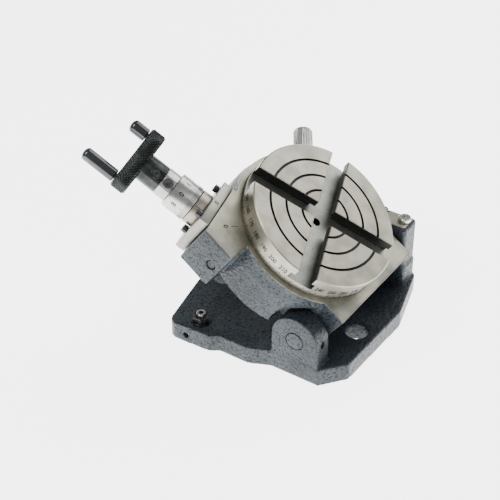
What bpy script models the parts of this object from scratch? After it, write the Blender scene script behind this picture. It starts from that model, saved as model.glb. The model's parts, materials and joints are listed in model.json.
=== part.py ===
"""Tilting rotary table: a round T-slot table on a worm gear, in a housing that tilts on a cast base.

Metres, +Z up. X = 0 is the tilt axis, which runs along Y, and Y = 0 is the table's axis. Z = 0 is the
face that the base stands on. The base reaches towards -X, below the housing. At zero tilt the table
faces up; the housing rises on its -X side as it tilts, and the crank is on that side.
"""

from math import atan2, cos, pi, radians, sin, sqrt, tan

import bmesh
import bpy
from mathutils import Matrix, Vector

MM = 0.001

# ---- driving dimensions: clearances -------------------------------------------------------------
GAP = 0.3 * MM  # between pieces that touch or turn in each other
TILT = radians(35.8)  # the rest position of the housing

# Table, spindle and worm gear
TABLE_RADIUS = 50 * MM
TABLE_HEIGHT = 16 * MM
SLOT_MOUTH = 12 * MM
SLOT_MOUTH_DEPTH = 5.5 * MM
SLOT_WIDE = 17 * MM
SLOT_DEPTH = 10.5 * MM
SLOT_ANGLE = radians(23.5)  # of the first slot from the housing's long direction
CENTRE_HOLE_RADIUS = 2.75 * MM
DRUM_RADIUS = 20 * MM
SPINDLE_RADIUS = 9 * MM
NUT_RADIUS = 14 * MM
TABLE_SCREW_CIRCLE = 15.5 * MM
TABLE_THREAD = 1.5 * MM  # radius
WHEEL_TEETH = 40
GEAR_MODULE = 1.25 * MM
WORM_PITCH_RADIUS = 8.75 * MM
WHEEL_WIDTH = 8 * MM
BACKLASH = 0.55 * MM  # taken off each tooth and thread at the pitch line

# Housing
HOUSING_HEIGHT = 33.5 * MM
LIP_RADIUS = 53.5 * MM
SKIRT_RADIUS = 55 * MM
HOUSING_REACH = 56 * MM  # from the table's axis to the end past the tilt axis
HOUSING_NEAR = 35.5 * MM
HOUSING_FAR = 50 * MM
GEAR_BELOW_FACE = 31 * MM  # middle of the worm wheel, below the table's face
WORM_ANGLE = radians(12.5)
COVER_THICKNESS = 3 * MM
COVER_RADIUS = 34 * MM
BLOCK_NEAR = 67 * MM  # near face of the worm block, from the table's axis
BLOCK_RIGHT = 17 * MM
LOCK_ANGLE = radians(129.5)
OIL_PLUG_RADIUS = 3 * MM
OIL_PLUG_BACK = 23.4 * MM  # from the table's axis, towards the crank

# Tilt hinge and base
HINGE_TO_TABLE = 44.6 * MM
HINGE_BELOW_TOP = 42.4 * MM  # tilt axis below the table's face
HINGE_HEIGHT = 27.5 * MM
PIN_RADIUS = 5.85 * MM
BARREL_RADIUS = 9.5 * MM
LUG_RADIUS = 16.5 * MM
LUG_FRONT = 51.6 * MM
LUG_LENGTH = 13.5 * MM
POCKET_RADIUS = 21 * MM
PLATE_HEIGHT = 12.5 * MM
BASE_RIGHT = 31.7 * MM
BASE_LEFT = 98 * MM
STOP_END_FRONT = 63 * MM  # the front edge bulges under the stop screw
UPRIGHT_NEAR = 52.5 * MM
UPRIGHT_THICKNESS = 17 * MM
UPRIGHT_TOP = 56 * MM
UPRIGHT_RIGHT = 18 * MM
UPRIGHT_LEFT = 15 * MM
MOUNT_HOLE_RADIUS = 7.25 * MM
MOUNT_HOLE_RIGHT = (18 * MM, -5.3 * MM)
MOUNT_HOLE_LEFT = (-84 * MM, -5.3 * MM)
STOP_SPOT = (-69.2 * MM, -52 * MM)
CLAMP_SPOT = (12.2 * MM, 62.4 * MM)
OILER_SPOT = (-4.5 * MM, 66 * MM)

# Worm shaft, dial and crank, in order outwards from the housing
SHAFT_RADIUS = 5 * MM
FLANGE_THICKNESS = 6.4 * MM
FLANGE_HALF_WIDTH = 18 * MM
COLLAR_LENGTH = 6.5 * MM
DIAL_RADIUS = 11.5 * MM
DIAL_LENGTH = 15.8 * MM
RING_RADIUS = 9.4 * MM
RING_LENGTH = 8 * MM
HUB_RADIUS = 9 * MM
HUB_LENGTH = 13.4 * MM
BAR_THICKNESS = 10 * MM
BAR_LENGTH = 42 * MM
BAR_WIDTH = 16 * MM
BAR_ANGLE = radians(33)
GRIP_RADIUS = 4.2 * MM
GRIP_OFFSET = 15.5 * MM
LONG_GRIP = 24 * MM
SHORT_GRIP = 12 * MM
KNOB_RADIUS = 6.4 * MM
KNOB_LENGTH = 17 * MM
KNOB_STANDOFF = 8.5 * MM  # bare stud between the housing's lip and the knob

# Sizes that follow from those above, heights measured from the table's face
HOUSING_TOP = -TABLE_HEIGHT - GAP
HOUSING_BOTTOM = HOUSING_TOP - HOUSING_HEIGHT
GEAR_LEVEL = -GEAR_BELOW_FACE
WHEEL_PITCH_RADIUS = WHEEL_TEETH * GEAR_MODULE / 2
CENTRE_DISTANCE = WHEEL_PITCH_RADIUS + WORM_PITCH_RADIUS
WORM_LEAD = pi * GEAR_MODULE
WHEEL_TOP = GEAR_LEVEL + WHEEL_WIDTH / 2
WHEEL_BOTTOM = GEAR_LEVEL - WHEEL_WIDTH / 2
DRUM_BOTTOM = WHEEL_TOP + GAP
CAVITY_RADIUS = WHEEL_PITCH_RADIUS + 2.5 * MM
COVER_TOP = HOUSING_BOTTOM + COVER_THICKNESS + GAP
CAVITY_TOP = DRUM_BOTTOM + GAP
LOCK_LEVEL = (HOUSING_TOP + DRUM_BOTTOM) / 2 - 2 * MM
WORM_BORE = WORM_PITCH_RADIUS + GEAR_MODULE + 0.5 * MM
BLOCK_FACE = 53.5 * MM  # along the worm's axis, from the middle of the worm
FLANGE_FACE = BLOCK_FACE + GAP + FLANGE_THICKNESS
WORM_HALF = 13 * MM
THRUST_END = WORM_HALF + 2 * MM
BUSH_RADIUS = 7 * MM
BUSH_START, BUSH_LENGTH = 15 * MM, 6 * MM

STEEL = ("satin_steel", (0.62, 0.61, 0.55), 0.35, 1.0)
BLACK = ("black_oxide", (0.03, 0.032, 0.034), 0.4, 0.8)
PAINT = ("hammered_paint", (0.075, 0.095, 0.115), 0.45, 0.3)
BRONZE = ("bronze", (0.55, 0.36, 0.16), 0.35, 1.0)
BRIGHT = ("bright_steel", (0.72, 0.72, 0.70), 0.22, 1.0)

# ---- helpers ----------------------------------------------------------------------------------------
for old in list(bpy.data.objects):
    bpy.data.objects.remove(old, do_unlink=True)

parts = bpy.data.collections.new("rotary_table")
cutters = bpy.data.collections.new("rotary_table_cutters")
for group in (parts, cutters):
    bpy.context.scene.collection.children.link(group)


def finish_material(spec):
    name, colour, roughness, metallic = spec
    made = bpy.data.materials.get(name) or bpy.data.materials.new(name)
    made.use_nodes = True
    shader = made.node_tree.nodes["Principled BSDF"]
    shader.inputs["Base Color"].default_value = (*colour, 1)
    shader.inputs["Roughness"].default_value = roughness
    shader.inputs["Metallic"].default_value = metallic
    return made


def add_object(name, mesh, spec, parent, place):
    """A part, or a cutter where spec is None. place is a matrix in the parent's frame."""
    made = bpy.data.objects.new(name, mesh)
    (parts if spec else cutters).objects.link(made)
    made.parent = parent
    made.matrix_local = place
    if spec:
        mesh.materials.append(finish_material(spec))
        mesh.shade_smooth()
        mesh.set_sharp_from_angle(angle=radians(30))
    else:
        made.hide_render = True
        made.display_type = "WIRE"
    return made


def at(x=0.0, y=0.0, z=0.0, turn=None):
    move = Matrix.Translation((x, y, z))
    return move @ turn if turn else move


def about(axis, angle):
    return Matrix.Rotation(angle, 4, axis)


def turned(name, profile, spec, parent, place=None, sides=32):
    """A solid of revolution about local Z. The profile's (radius, height) points run down its outer side;
    one that doesn't start and end on the axis is closed up its inner side."""
    mesh = bpy.data.meshes.new(name)
    count = len(profile)
    on_axis = profile[0][0] == 0 and profile[-1][0] == 0
    edges = [(i, i + 1) for i in range(count - 1)] + ([] if on_axis else [(count - 1, 0)])
    mesh.from_pydata([(r, 0, z) for r, z in profile], edges, [])
    made = add_object(name, mesh, spec, parent, place or at())
    screw = made.modifiers.new("turn", "SCREW")
    screw.steps = screw.render_steps = sides
    screw.use_merge_vertices = True
    screw.merge_threshold = 1e-6
    screw.use_smooth_shade = bool(spec)
    return made


def cylinder(name, radius, low, high, spec, parent, place=None, sides=32):
    return turned(name, [(0, high), (radius, high), (radius, low), (0, low)], spec, parent, place, sides)


def tube(name, inner, outer, low, high, spec, parent, place=None, sides=32):
    ring = [(inner, high), (outer, high), (outer, low), (inner, low)]
    return turned(name, ring, spec, parent, place, sides)


def block(name, low, high, spec, parent, place=None, bevel=0.0):
    mesh = bpy.data.meshes.new(name)
    box = bmesh.new()
    bmesh.ops.create_cube(box, size=1)
    size = [h - l for l, h in zip(low, high)]
    bmesh.ops.scale(box, vec=size, verts=box.verts)
    bmesh.ops.translate(box, vec=[(l + h) / 2 for l, h in zip(low, high)], verts=box.verts)
    box.to_mesh(mesh)
    box.free()
    made = add_object(name, mesh, spec, parent, place or at())
    if bevel:
        add_bevel(made, bevel)
    return made


def add_bevel(piece, width, segments=2):
    bevel = piece.modifiers.new("edge", "BEVEL")
    bevel.width = width
    bevel.segments = segments
    bevel.limit_method = "ANGLE"
    bevel.angle_limit = radians(40)


def rounded(corners, steps=5):
    """The outline through (x, y, radius) corners, each rounded by an arc of that radius."""
    outline = []
    for i, (x, y, radius) in enumerate(corners):
        here = Vector((x, y))
        before = (Vector(corners[i - 1][:2]) - here).normalized()
        after = (Vector(corners[(i + 1) % len(corners)][:2]) - here).normalized()
        if not radius:
            outline.append(here)
            continue
        half = before.angle(after) / 2
        centre = here + (before + after).normalized() * (radius / sin(half))
        first = here + before * (radius / tan(half)) - centre
        last = here + after * (radius / tan(half)) - centre
        sweep = first.angle_signed(last)
        for k in range(steps + 1):
            spun = first.copy()
            spun.rotate(Matrix.Rotation(-sweep * k / steps, 2))
            outline.append(centre + spun)
    return outline


def plate(name, outline, low, high, spec, parent, place=None):
    """A flat outline with a thickness, made from a filled 2D curve."""
    curve = bpy.data.curves.new(name, "CURVE")
    curve.dimensions = "2D"
    curve.fill_mode = "BOTH"
    curve.extrude = (high - low) / 2
    spline = curve.splines.new("POLY")
    spline.points.add(len(outline) - 1)
    for point, spot in zip(spline.points, outline):
        point.co = (spot[0], spot[1], 0, 1)
    spline.use_cyclic_u = True
    guide = bpy.data.objects.new(name + "_outline", curve)
    cutters.objects.link(guide)
    graph = bpy.context.evaluated_depsgraph_get()
    mesh = bpy.data.meshes.new_from_object(guide.evaluated_get(graph))
    bpy.data.objects.remove(guide)
    work = bmesh.new()
    work.from_mesh(mesh)
    bmesh.ops.remove_doubles(work, verts=work.verts, dist=1e-6)
    bmesh.ops.recalc_face_normals(work, faces=work.faces)
    bmesh.ops.translate(work, vec=(0, 0, (low + high) / 2), verts=work.verts)
    work.to_mesh(mesh)
    work.free()
    return add_object(name, mesh, spec, parent, place or at())


def combine(piece, other, operation):
    change = piece.modifiers.new(f"{operation.lower()} {other.name}", "BOOLEAN")
    change.operation = operation
    change.object = other


def cut(piece, *tools):
    for tool in tools:
        combine(piece, tool, "DIFFERENCE")


def fuse(piece, *tools):
    for tool in tools:
        combine(piece, tool, "UNION")


def frame_empty(name, parent, place):
    made = bpy.data.objects.new(name, None)
    parts.objects.link(made)
    made.parent = parent
    made.matrix_local = place
    return made


def hex_socket(name, flats, depth, parent, place):
    """A six-sided cutter that goes depth below local Z = 0."""
    return cylinder(name, flats / sqrt(3), -depth, 1 * MM, None, parent, place, sides=6)


def cap_head_radius(thread):
    return 1.7 * thread


def cap_screw(name, thread, length, spec, parent, place, head_height=None):
    """A socket head cap screw. The underside of its head is at local Z = 0, its shank points down."""
    head = cap_head_radius(thread)
    rise = head_height or 2 * thread
    edge = 0.1 * head
    profile = [(0, rise), (head - edge, rise), (head, rise - edge), (head, 0)]
    profile += [(thread, 0), (thread, -length), (0, -length)]
    screw = turned(name, profile, spec, parent, place, sides=12)
    cut(screw, hex_socket(name + "_key", 1.6 * thread, 0.6 * rise, parent, place @ at(z=rise)))
    return screw


def grub_screw(name, thread, length, spec, parent, place):
    """A set screw with a hexagon socket, its open end at local Z = 0."""
    profile = [(0, 0), (thread, 0), (thread, thread - length), (thread / 2, -length), (0, -length)]
    screw = turned(name, profile, spec, parent, place, sides=12)
    cut(screw, hex_socket(name + "_key", thread, 0.45 * length, parent, place))
    return screw


# ---- frames -------------------------------------------------------------------------------------
# tilt: origin on the tilt axis. table: origin at the middle of the table's face, +Z out of it.
# worm: origin in the middle of the worm, +Z along the shaft towards the crank, +X square to the
# shaft in the table's plane, towards the table's axis, so +Y points into the housing (down).
tilt = frame_empty("tilt_pivot", None, at(z=HINGE_HEIGHT, turn=about("Y", TILT)))
axis_spot = at(x=-HINGE_TO_TABLE, z=HINGE_BELOW_TOP)
housing_frame = frame_empty("housing_frame", tilt, axis_spot)
table_frame = frame_empty("table_pivot", housing_frame, about("Z", SLOT_ANGLE))
worm_along = Vector((-cos(WORM_ANGLE), -sin(WORM_ANGLE), 0))
worm_in = Vector((-sin(WORM_ANGLE), cos(WORM_ANGLE), 0))
worm_turn = Matrix((worm_in, worm_along.cross(worm_in), worm_along)).transposed().to_4x4()
worm_spot = -worm_in * CENTRE_DISTANCE
worm_place = at(worm_spot.x, worm_spot.y, GEAR_LEVEL) @ worm_turn
worm_frame = frame_empty("worm_pivot", housing_frame, worm_place)


# ---- table and spindle -----------------------------------------------------------------------------
def make_table():
    edge = 0.8 * MM
    top = TABLE_RADIUS - edge
    profile = [(CENTRE_HOLE_RADIUS, 0), (top, 0), (TABLE_RADIUS, -edge), (TABLE_RADIUS, -TABLE_HEIGHT)]
    profile += [(CENTRE_HOLE_RADIUS, -TABLE_HEIGHT)]
    table = turned("table", profile, STEEL, table_frame, sides=72)
    reach = TABLE_RADIUS + 5 * MM
    for k in range(2):
        along = about("Z", k * pi / 2)
        half, wide = SLOT_MOUTH / 2, SLOT_WIDE / 2
        mouth = block(f"slot_mouth_{k}", (-reach, -half, -SLOT_DEPTH), (reach, half, 1 * MM), None,
                      table_frame, along)
        low, high = (-reach, -wide, -SLOT_DEPTH), (reach, wide, -SLOT_MOUTH_DEPTH)
        undercut = block(f"slot_undercut_{k}", low, high, None, table_frame, along)
        cut(table, mouth, undercut)
    for k in range(4):
        x, y = screw_spot(k)
        cut(table, cylinder(f"table_thread_{k}", TABLE_THREAD + GAP, -TABLE_HEIGHT - MM, -7 * MM,
                            None, table_frame, at(x, y), sides=12))
    return table


def screw_spot(k):
    angle = pi / 4 + k * pi / 2
    return TABLE_SCREW_CIRCLE * cos(angle), TABLE_SCREW_CIRCLE * sin(angle)


def make_spindle():
    top = HOUSING_TOP
    end = COVER_TOP + 1.5 * MM
    profile = [(CENTRE_HOLE_RADIUS, top), (DRUM_RADIUS, top), (DRUM_RADIUS, DRUM_BOTTOM)]
    profile += [(SPINDLE_RADIUS, DRUM_BOTTOM), (SPINDLE_RADIUS, end), (CENTRE_HOLE_RADIUS, end)]
    spindle = turned("spindle", profile, STEEL, table_frame, sides=32)
    thread, head = TABLE_THREAD, cap_head_radius(TABLE_THREAD)
    seat = DRUM_BOTTOM + 4 * MM
    for k in range(4):
        x, y = screw_spot(k)
        profile = [(0, top + MM), (thread + GAP, top + MM), (thread + GAP, seat), (head + GAP, seat)]
        profile += [(head + GAP, DRUM_BOTTOM - MM), (0, DRUM_BOTTOM - MM)]
        cut(spindle, turned(f"spindle_drill_{k}", profile, None, table_frame, at(x, y), sides=12))
        cap_screw(f"table_screw_{k + 1}", thread, 11.5 * MM, BLACK, table_frame,
                  at(x, y, seat - GAP) @ about("X", pi))
    key = 3 * MM
    slot = block("key_slot", (SPINDLE_RADIUS - key / 2, -key / 2 - GAP, WHEEL_BOTTOM),
                 (SPINDLE_RADIUS + key, key / 2 + GAP, WHEEL_TOP), None, table_frame)
    cut(spindle, slot)
    block("wheel_key", (SPINDLE_RADIUS - key / 2 + GAP, -key / 2, WHEEL_BOTTOM + GAP),
          (SPINDLE_RADIUS + key / 2, key / 2, WHEEL_TOP - GAP), STEEL, table_frame)
    return key


def make_wheel(key):
    """Straight flanks stand in for the involute ones, thinned by the backlash."""
    addendum, dedendum = GEAR_MODULE, 1.25 * GEAR_MODULE
    pitch_half = (WORM_LEAD / 2 - BACKLASH) / 2
    lean = tan(radians(20))
    outline = []
    for tooth in range(WHEEL_TEETH):
        middle = 2 * pi * tooth / WHEEL_TEETH
        for side, rise in ((-1, -dedendum), (-1, addendum), (1, addendum), (1, -dedendum)):
            radius = WHEEL_PITCH_RADIUS + rise
            angle = middle + side * (pitch_half - rise * lean) / radius
            outline.append((radius * cos(angle), radius * sin(angle)))
    # A tooth space faces the worm while the table stands at its rest position.
    face = atan2(worm_spot.y, worm_spot.x) - SLOT_ANGLE + pi / WHEEL_TEETH
    wheel = plate("worm_wheel", outline, WHEEL_BOTTOM, WHEEL_TOP, BRONZE, table_frame, about("Z", face))
    twist = wheel.modifiers.new("helix", "SIMPLE_DEFORM")
    twist.deform_method = "TWIST"
    twist.deform_axis = "Z"
    lead_angle = WORM_LEAD / (2 * pi * WORM_PITCH_RADIUS)
    twist.angle = -WHEEL_WIDTH * lead_angle / WHEEL_PITCH_RADIUS
    bore = cylinder("wheel_bore", SPINDLE_RADIUS + GAP, WHEEL_BOTTOM - MM, WHEEL_TOP + MM, None,
                    table_frame, sides=24)
    way = block("wheel_keyway", (SPINDLE_RADIUS - MM, -key / 2 - GAP, WHEEL_BOTTOM - MM),
                (SPINDLE_RADIUS + key / 2 + GAP, key / 2 + GAP, WHEEL_TOP + MM), None, table_frame)
    cut(wheel, bore, way)


def make_spindle_nut():
    washer = 1.5 * MM
    top = WHEEL_BOTTOM - GAP
    inner = SPINDLE_RADIUS + GAP
    tube("spindle_washer", inner, NUT_RADIUS, top - washer, top, STEEL, table_frame, sides=24)
    nut_top = top - washer - GAP
    nut_bottom = COVER_TOP + 1.5 * MM
    nut = tube("spindle_nut", inner, NUT_RADIUS - MM, nut_bottom, nut_top, BLACK, table_frame, sides=24)
    for k in range(4):
        notch = block(f"nut_notch_{k}", (NUT_RADIUS - 2.5 * MM, -1.5 * MM, nut_bottom - MM),
                      (NUT_RADIUS + MM, 1.5 * MM, nut_top + MM), None, table_frame, about("Z", k * pi / 2))
        cut(nut, notch)


# ---- housing ------------------------------------------------------------------------------------
def make_housing():
    flare_top, flare_low = HOUSING_TOP - 3 * MM, HOUSING_TOP - 10 * MM
    profile = [(0, HOUSING_TOP), (LIP_RADIUS, HOUSING_TOP), (LIP_RADIUS, flare_top)]
    profile += [(SKIRT_RADIUS, flare_low), (SKIRT_RADIUS, HOUSING_BOTTOM), (0, HOUSING_BOTTOM)]
    housing = turned("housing", profile, PAINT, housing_frame, sides=56)
    end = block("housing_end", (0, -HOUSING_NEAR, HOUSING_BOTTOM), (HOUSING_REACH, HOUSING_FAR, HOUSING_TOP),
                None, housing_frame)
    worm_end = Vector((cos(WORM_ANGLE), sin(WORM_ANGLE)))
    # The block starts a little long, and the flange's seat is cut back across it and the round body.
    spare = 2 * MM
    face_mid = worm_spot.xy - worm_end * (BLOCK_FACE + spare)
    near_x = face_mid.x + (BLOCK_NEAR + face_mid.y) * tan(WORM_ANGLE)
    far_y = face_mid.y + FLANGE_HALF_WIDTH * cos(WORM_ANGLE)
    far_x = face_mid.x - FLANGE_HALF_WIDTH * sin(WORM_ANGLE)
    corners = [(near_x, -BLOCK_NEAR, 1.5 * MM), (-BLOCK_RIGHT, -BLOCK_NEAR, 1.5 * MM)]
    corners += [(-BLOCK_RIGHT, 0, 0), (far_x + 20 * MM, far_y, 0), (far_x, far_y, 0)]
    worm_block = plate("worm_block", rounded(corners), HOUSING_BOTTOM, HOUSING_TOP, None, housing_frame)
    hinge_line = at(x=HINGE_TO_TABLE, z=-HINGE_BELOW_TOP, turn=about("X", pi / 2))
    inset = 0.5 * MM
    barrel = cylinder("hinge_barrel", BARREL_RADIUS, inset - HOUSING_FAR, HOUSING_NEAR - inset, None,
                      housing_frame, hinge_line, sides=28)
    fuse(housing, end, worm_block, barrel)
    # The far side is flat where it passes the base's upright, and the near side is open round the lug.
    flat_far = block("far_flat", (5 * MM, HOUSING_FAR, HOUSING_BOTTOM - MM),
                     (2 * SKIRT_RADIUS, 2 * SKIRT_RADIUS, HOUSING_TOP + MM), None, housing_frame)
    flat_end = block("end_flat", (HOUSING_REACH, -2 * SKIRT_RADIUS, HOUSING_BOTTOM - MM),
                     (2 * SKIRT_RADIUS, 2 * SKIRT_RADIUS, HOUSING_TOP + MM), None, housing_frame)
    pocket = cylinder("lug_pocket", POCKET_RADIUS, LUG_FRONT - LUG_LENGTH - inset, 2 * SKIRT_RADIUS, None,
                      housing_frame,
                      hinge_line, sides=32)
    drum_bore = cylinder("drum_bore", DRUM_RADIUS + GAP, CAVITY_TOP - MM, HOUSING_TOP + MM, None,
                         housing_frame, sides=32)
    cavity = cylinder("wheel_cavity", CAVITY_RADIUS, HOUSING_BOTTOM - MM, CAVITY_TOP, None,
                      housing_frame, sides=32)
    recess = cylinder("cover_recess", COVER_RADIUS + GAP, HOUSING_BOTTOM - MM, COVER_TOP, None,
                      housing_frame, sides=36)
    worm_bore = cylinder("worm_bore", WORM_BORE, -WORM_HALF - MM, BLOCK_FACE + 2 * MM, None, worm_frame)
    bush_bore = cylinder("bush_bore", BUSH_RADIUS + GAP, -BUSH_START - BUSH_LENGTH - GAP, 0, None, worm_frame,
                         sides=24)
    seat = block("flange_seat", (-BLOCK_NEAR, -HOUSING_HEIGHT, BLOCK_FACE),
                 (FLANGE_HALF_WIDTH + 4 * MM, HOUSING_HEIGHT, BLOCK_FACE + 30 * MM), None, worm_frame)
    pin_bore = cylinder("housing_pin_bore", PIN_RADIUS + GAP, -HOUSING_FAR - MM, LUG_FRONT, None,
                        housing_frame, hinge_line, sides=24)
    cut(housing, flat_far, flat_end, pocket, seat, drum_bore, cavity, recess, worm_bore, bush_bore, pin_bore)
    return housing


def make_cover(housing):
    top, sunk = COVER_TOP - GAP, 0.2 * MM
    cover = cylinder("bottom_cover", COVER_RADIUS, HOUSING_BOTTOM + sunk, top, STEEL, housing_frame)
    thread, circle = 1.25 * MM, (CAVITY_RADIUS + COVER_RADIUS) / 2
    seat, head = HOUSING_BOTTOM + 2 * MM, cap_head_radius(thread)
    deep, low = COVER_TOP + 6.5 * MM, HOUSING_BOTTOM - 2 * MM
    profile = [(0, deep), (thread + GAP, deep), (thread + GAP, seat), (head + GAP, seat)]
    profile += [(head + GAP, low), (0, low)]
    for k in range(3):
        # One screw stands opposite the worm, so the other two clear its bore.
        angle = atan2(-worm_spot.y, -worm_spot.x) + k * 2 * pi / 3
        spot = at(circle * cos(angle), circle * sin(angle))
        drill = turned(f"cover_drill_{k}", profile, None, housing_frame, spot, sides=12)
        cut(cover, drill)
        cut(housing, drill)
        cap_screw(f"cover_screw_{k + 1}", thread, 6 * MM, BLACK, housing_frame,
                  spot @ at(z=seat - GAP) @ about("X", pi), head_height=1.4 * MM)


def make_oil_plug(housing):
    radius, sunk, edge, deep = OIL_PLUG_RADIUS, 0.6 * MM, 0.5 * MM, 5.5 * MM
    spot = at(-OIL_PLUG_BACK, -BLOCK_NEAR, GEAR_LEVEL - radius) @ about("X", pi / 2)
    cut(housing, cylinder("oil_hole", radius + GAP, -deep - edge, MM, None, housing_frame, spot, sides=20))
    profile = [(0, -sunk), (radius - edge, -sunk), (radius, -sunk - edge), (radius, -deep), (0, -deep)]
    turned("oil_plug", profile, STEEL, housing_frame, spot, sides=20)


def make_table_lock(housing):
    """Knob and stud turn together and push a brass pad against the spindle's drum."""
    outward = Vector((cos(LOCK_ANGLE), sin(LOCK_ANGLE), 0))
    sideways = Vector((0, 0, 1)).cross(outward)
    turn = Matrix((Vector((0, 0, -1)), sideways, outward)).transposed().to_4x4()
    place = at(z=LOCK_LEVEL) @ turn
    lock_frame = frame_empty("lock_pivot", housing_frame, place)
    stud, pad = 3 * MM, 3 * MM
    pad_start, pad_length = DRUM_RADIUS + GAP, 4 * MM
    outer = LIP_RADIUS + KNOB_STANDOFF
    cut(housing, cylinder("lock_bore", stud + GAP, DRUM_RADIUS - MM, SKIRT_RADIUS + MM, None, lock_frame,
                          sides=20))
    cylinder("lock_pad", pad, pad_start, pad_start + pad_length, BRONZE, lock_frame, sides=20)
    start = pad_start + pad_length + GAP
    end = outer + KNOB_LENGTH
    dome = 1.6 * MM
    profile = [(0, end), (0.45 * KNOB_RADIUS, end - 0.15 * dome), (0.8 * KNOB_RADIUS, end - 0.5 * dome)]
    profile += [(KNOB_RADIUS, end - dome), (KNOB_RADIUS, outer), (stud, outer), (stud, start), (0, start)]
    turned("lock_knob", profile, BRIGHT, lock_frame, sides=28)


# ---- worm, dial and crank -------------------------------------------------------------------------
def make_worm():
    root = WORM_PITCH_RADIUS - 1.25 * GEAR_MODULE
    low, high = -WORM_HALF, WORM_HALF
    inner_end = -BUSH_START - BUSH_LENGTH
    outer_end = FLANGE_FACE + COLLAR_LENGTH + DIAL_LENGTH + RING_LENGTH + HUB_LENGTH + BAR_THICKNESS
    profile = [(0, outer_end), (SHAFT_RADIUS, outer_end), (SHAFT_RADIUS, high), (root, high), (root, low)]
    profile += [(SHAFT_RADIUS, low), (SHAFT_RADIUS, inner_end), (0, inner_end)]
    worm = turned("worm_shaft", profile, BRIGHT, worm_frame, sides=20)
    turns = 5
    lean = tan(radians(20))
    pitch_half = (WORM_LEAD / 2 - BACKLASH) / 2
    sunk = -1.25 * GEAR_MODULE - 0.6 * MM
    loop = []
    for side, rise in ((1, GEAR_MODULE), (-1, GEAR_MODULE), (-1, sunk), (1, sunk)):
        loop.append((WORM_PITCH_RADIUS + rise, 0, side * (pitch_half - rise * lean)))
    mesh = bpy.data.meshes.new("worm_thread")
    mesh.from_pydata(loop, [(0, 1), (1, 2), (2, 3), (3, 0)], [])
    # The thread's crest faces the wheel at the middle of the worm.
    thread = add_object("worm_thread", mesh, None, worm_frame, at(z=-turns * WORM_LEAD / 2))
    screw = thread.modifiers.new("helix", "SCREW")
    screw.steps = screw.render_steps = 14
    screw.iterations = turns
    screw.screw_offset = WORM_LEAD
    screw.use_merge_vertices = False
    graph = bpy.context.evaluated_depsgraph_get()
    helix = bpy.data.meshes.new_from_object(thread.evaluated_get(graph))
    thread.modifiers.clear()
    work = bmesh.new()
    work.from_mesh(helix)
    bmesh.ops.remove_doubles(work, verts=work.verts, dist=1e-7)
    bmesh.ops.holes_fill(work, edges=work.edges)
    bmesh.ops.recalc_face_normals(work, faces=work.faces)
    work.to_mesh(helix)
    work.free()
    thread.data = helix
    fuse(worm, thread)


def make_worm_bearings():
    tube("worm_end_bush", SHAFT_RADIUS + GAP, BUSH_RADIUS, -BUSH_START - BUSH_LENGTH, -BUSH_START, BRONZE,
         worm_frame, sides=24)
    tube("thrust_washer", SHAFT_RADIUS + GAP, WORM_BORE - MM, WORM_HALF + GAP, THRUST_END, STEEL, worm_frame,
         sides=24)


def make_flange(housing):
    inner, outer = BLOCK_FACE + GAP, FLANGE_FACE
    flange = block("worm_flange", (-FLANGE_HALF_WIDTH, GEAR_LEVEL - HOUSING_TOP, inner),
                   (FLANGE_HALF_WIDTH, GEAR_LEVEL - HOUSING_BOTTOM, outer), STEEL, worm_frame, bevel=0.6 * MM)
    spigot = cylinder("flange_spigot", WORM_BORE - GAP, THRUST_END + GAP, inner + MM, None, worm_frame,
                      sides=28)
    bore = cylinder("flange_bore", SHAFT_RADIUS + GAP, 0, outer + MM, None, worm_frame, sides=20)
    fuse(flange, spigot)
    cut(flange, bore)
    thread, length = 1.5 * MM, 14 * MM
    aside, above, below = 12 * MM, 10.9 * MM, 8 * MM
    # Local +X is the table side and -Y is up, as the frame's note says.
    for k, (x, y) in enumerate([(aside, -above), (aside, below), (-aside, below), (-aside, -above)]):
        hole = cylinder(f"flange_hole_{k}", thread + GAP, outer - length - MM, outer + MM, None, worm_frame,
                        at(x, y), sides=12)
        cut(flange, hole)
        cut(housing, hole)
        cap_screw(f"flange_screw_{k + 1}", thread, length, BLACK, worm_frame, at(x, y, outer + GAP))


def make_dial_and_crank():
    start = FLANGE_FACE + GAP
    bore = SHAFT_RADIUS + GAP
    edge = 0.6 * MM
    collar_end = FLANGE_FACE + COLLAR_LENGTH
    tube("index_collar", bore, DIAL_RADIUS, start, collar_end, STEEL, worm_frame)
    dial_end = collar_end + DIAL_LENGTH
    rim = [(bore, dial_end), (DIAL_RADIUS - edge, dial_end), (DIAL_RADIUS, dial_end - edge)]
    rim += [(DIAL_RADIUS, collar_end + GAP), (bore, collar_end + GAP)]
    turned("dial", rim, BRIGHT, worm_frame)
    ring_end = dial_end + RING_LENGTH
    ring = tube("dial_clamp_ring", bore, RING_RADIUS, dial_end + GAP, ring_end, BRIGHT, worm_frame, sides=28)
    up = about("X", pi / 2) @ about("Y", radians(-38))
    ring_screw = 2 * MM
    spot = at(z=(dial_end + ring_end + GAP) / 2) @ up
    cut(ring, cylinder("ring_screw_hole", ring_screw + GAP, bore - MM, RING_RADIUS + MM, None, worm_frame,
                       spot, sides=12))
    cap = spot @ at(z=RING_RADIUS + GAP)
    cap_screw("dial_clamp_screw", ring_screw, RING_RADIUS - bore, BLACK, worm_frame, cap, head_height=1.8 * MM)
    make_crank(ring_end + GAP, bore, up)


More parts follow.
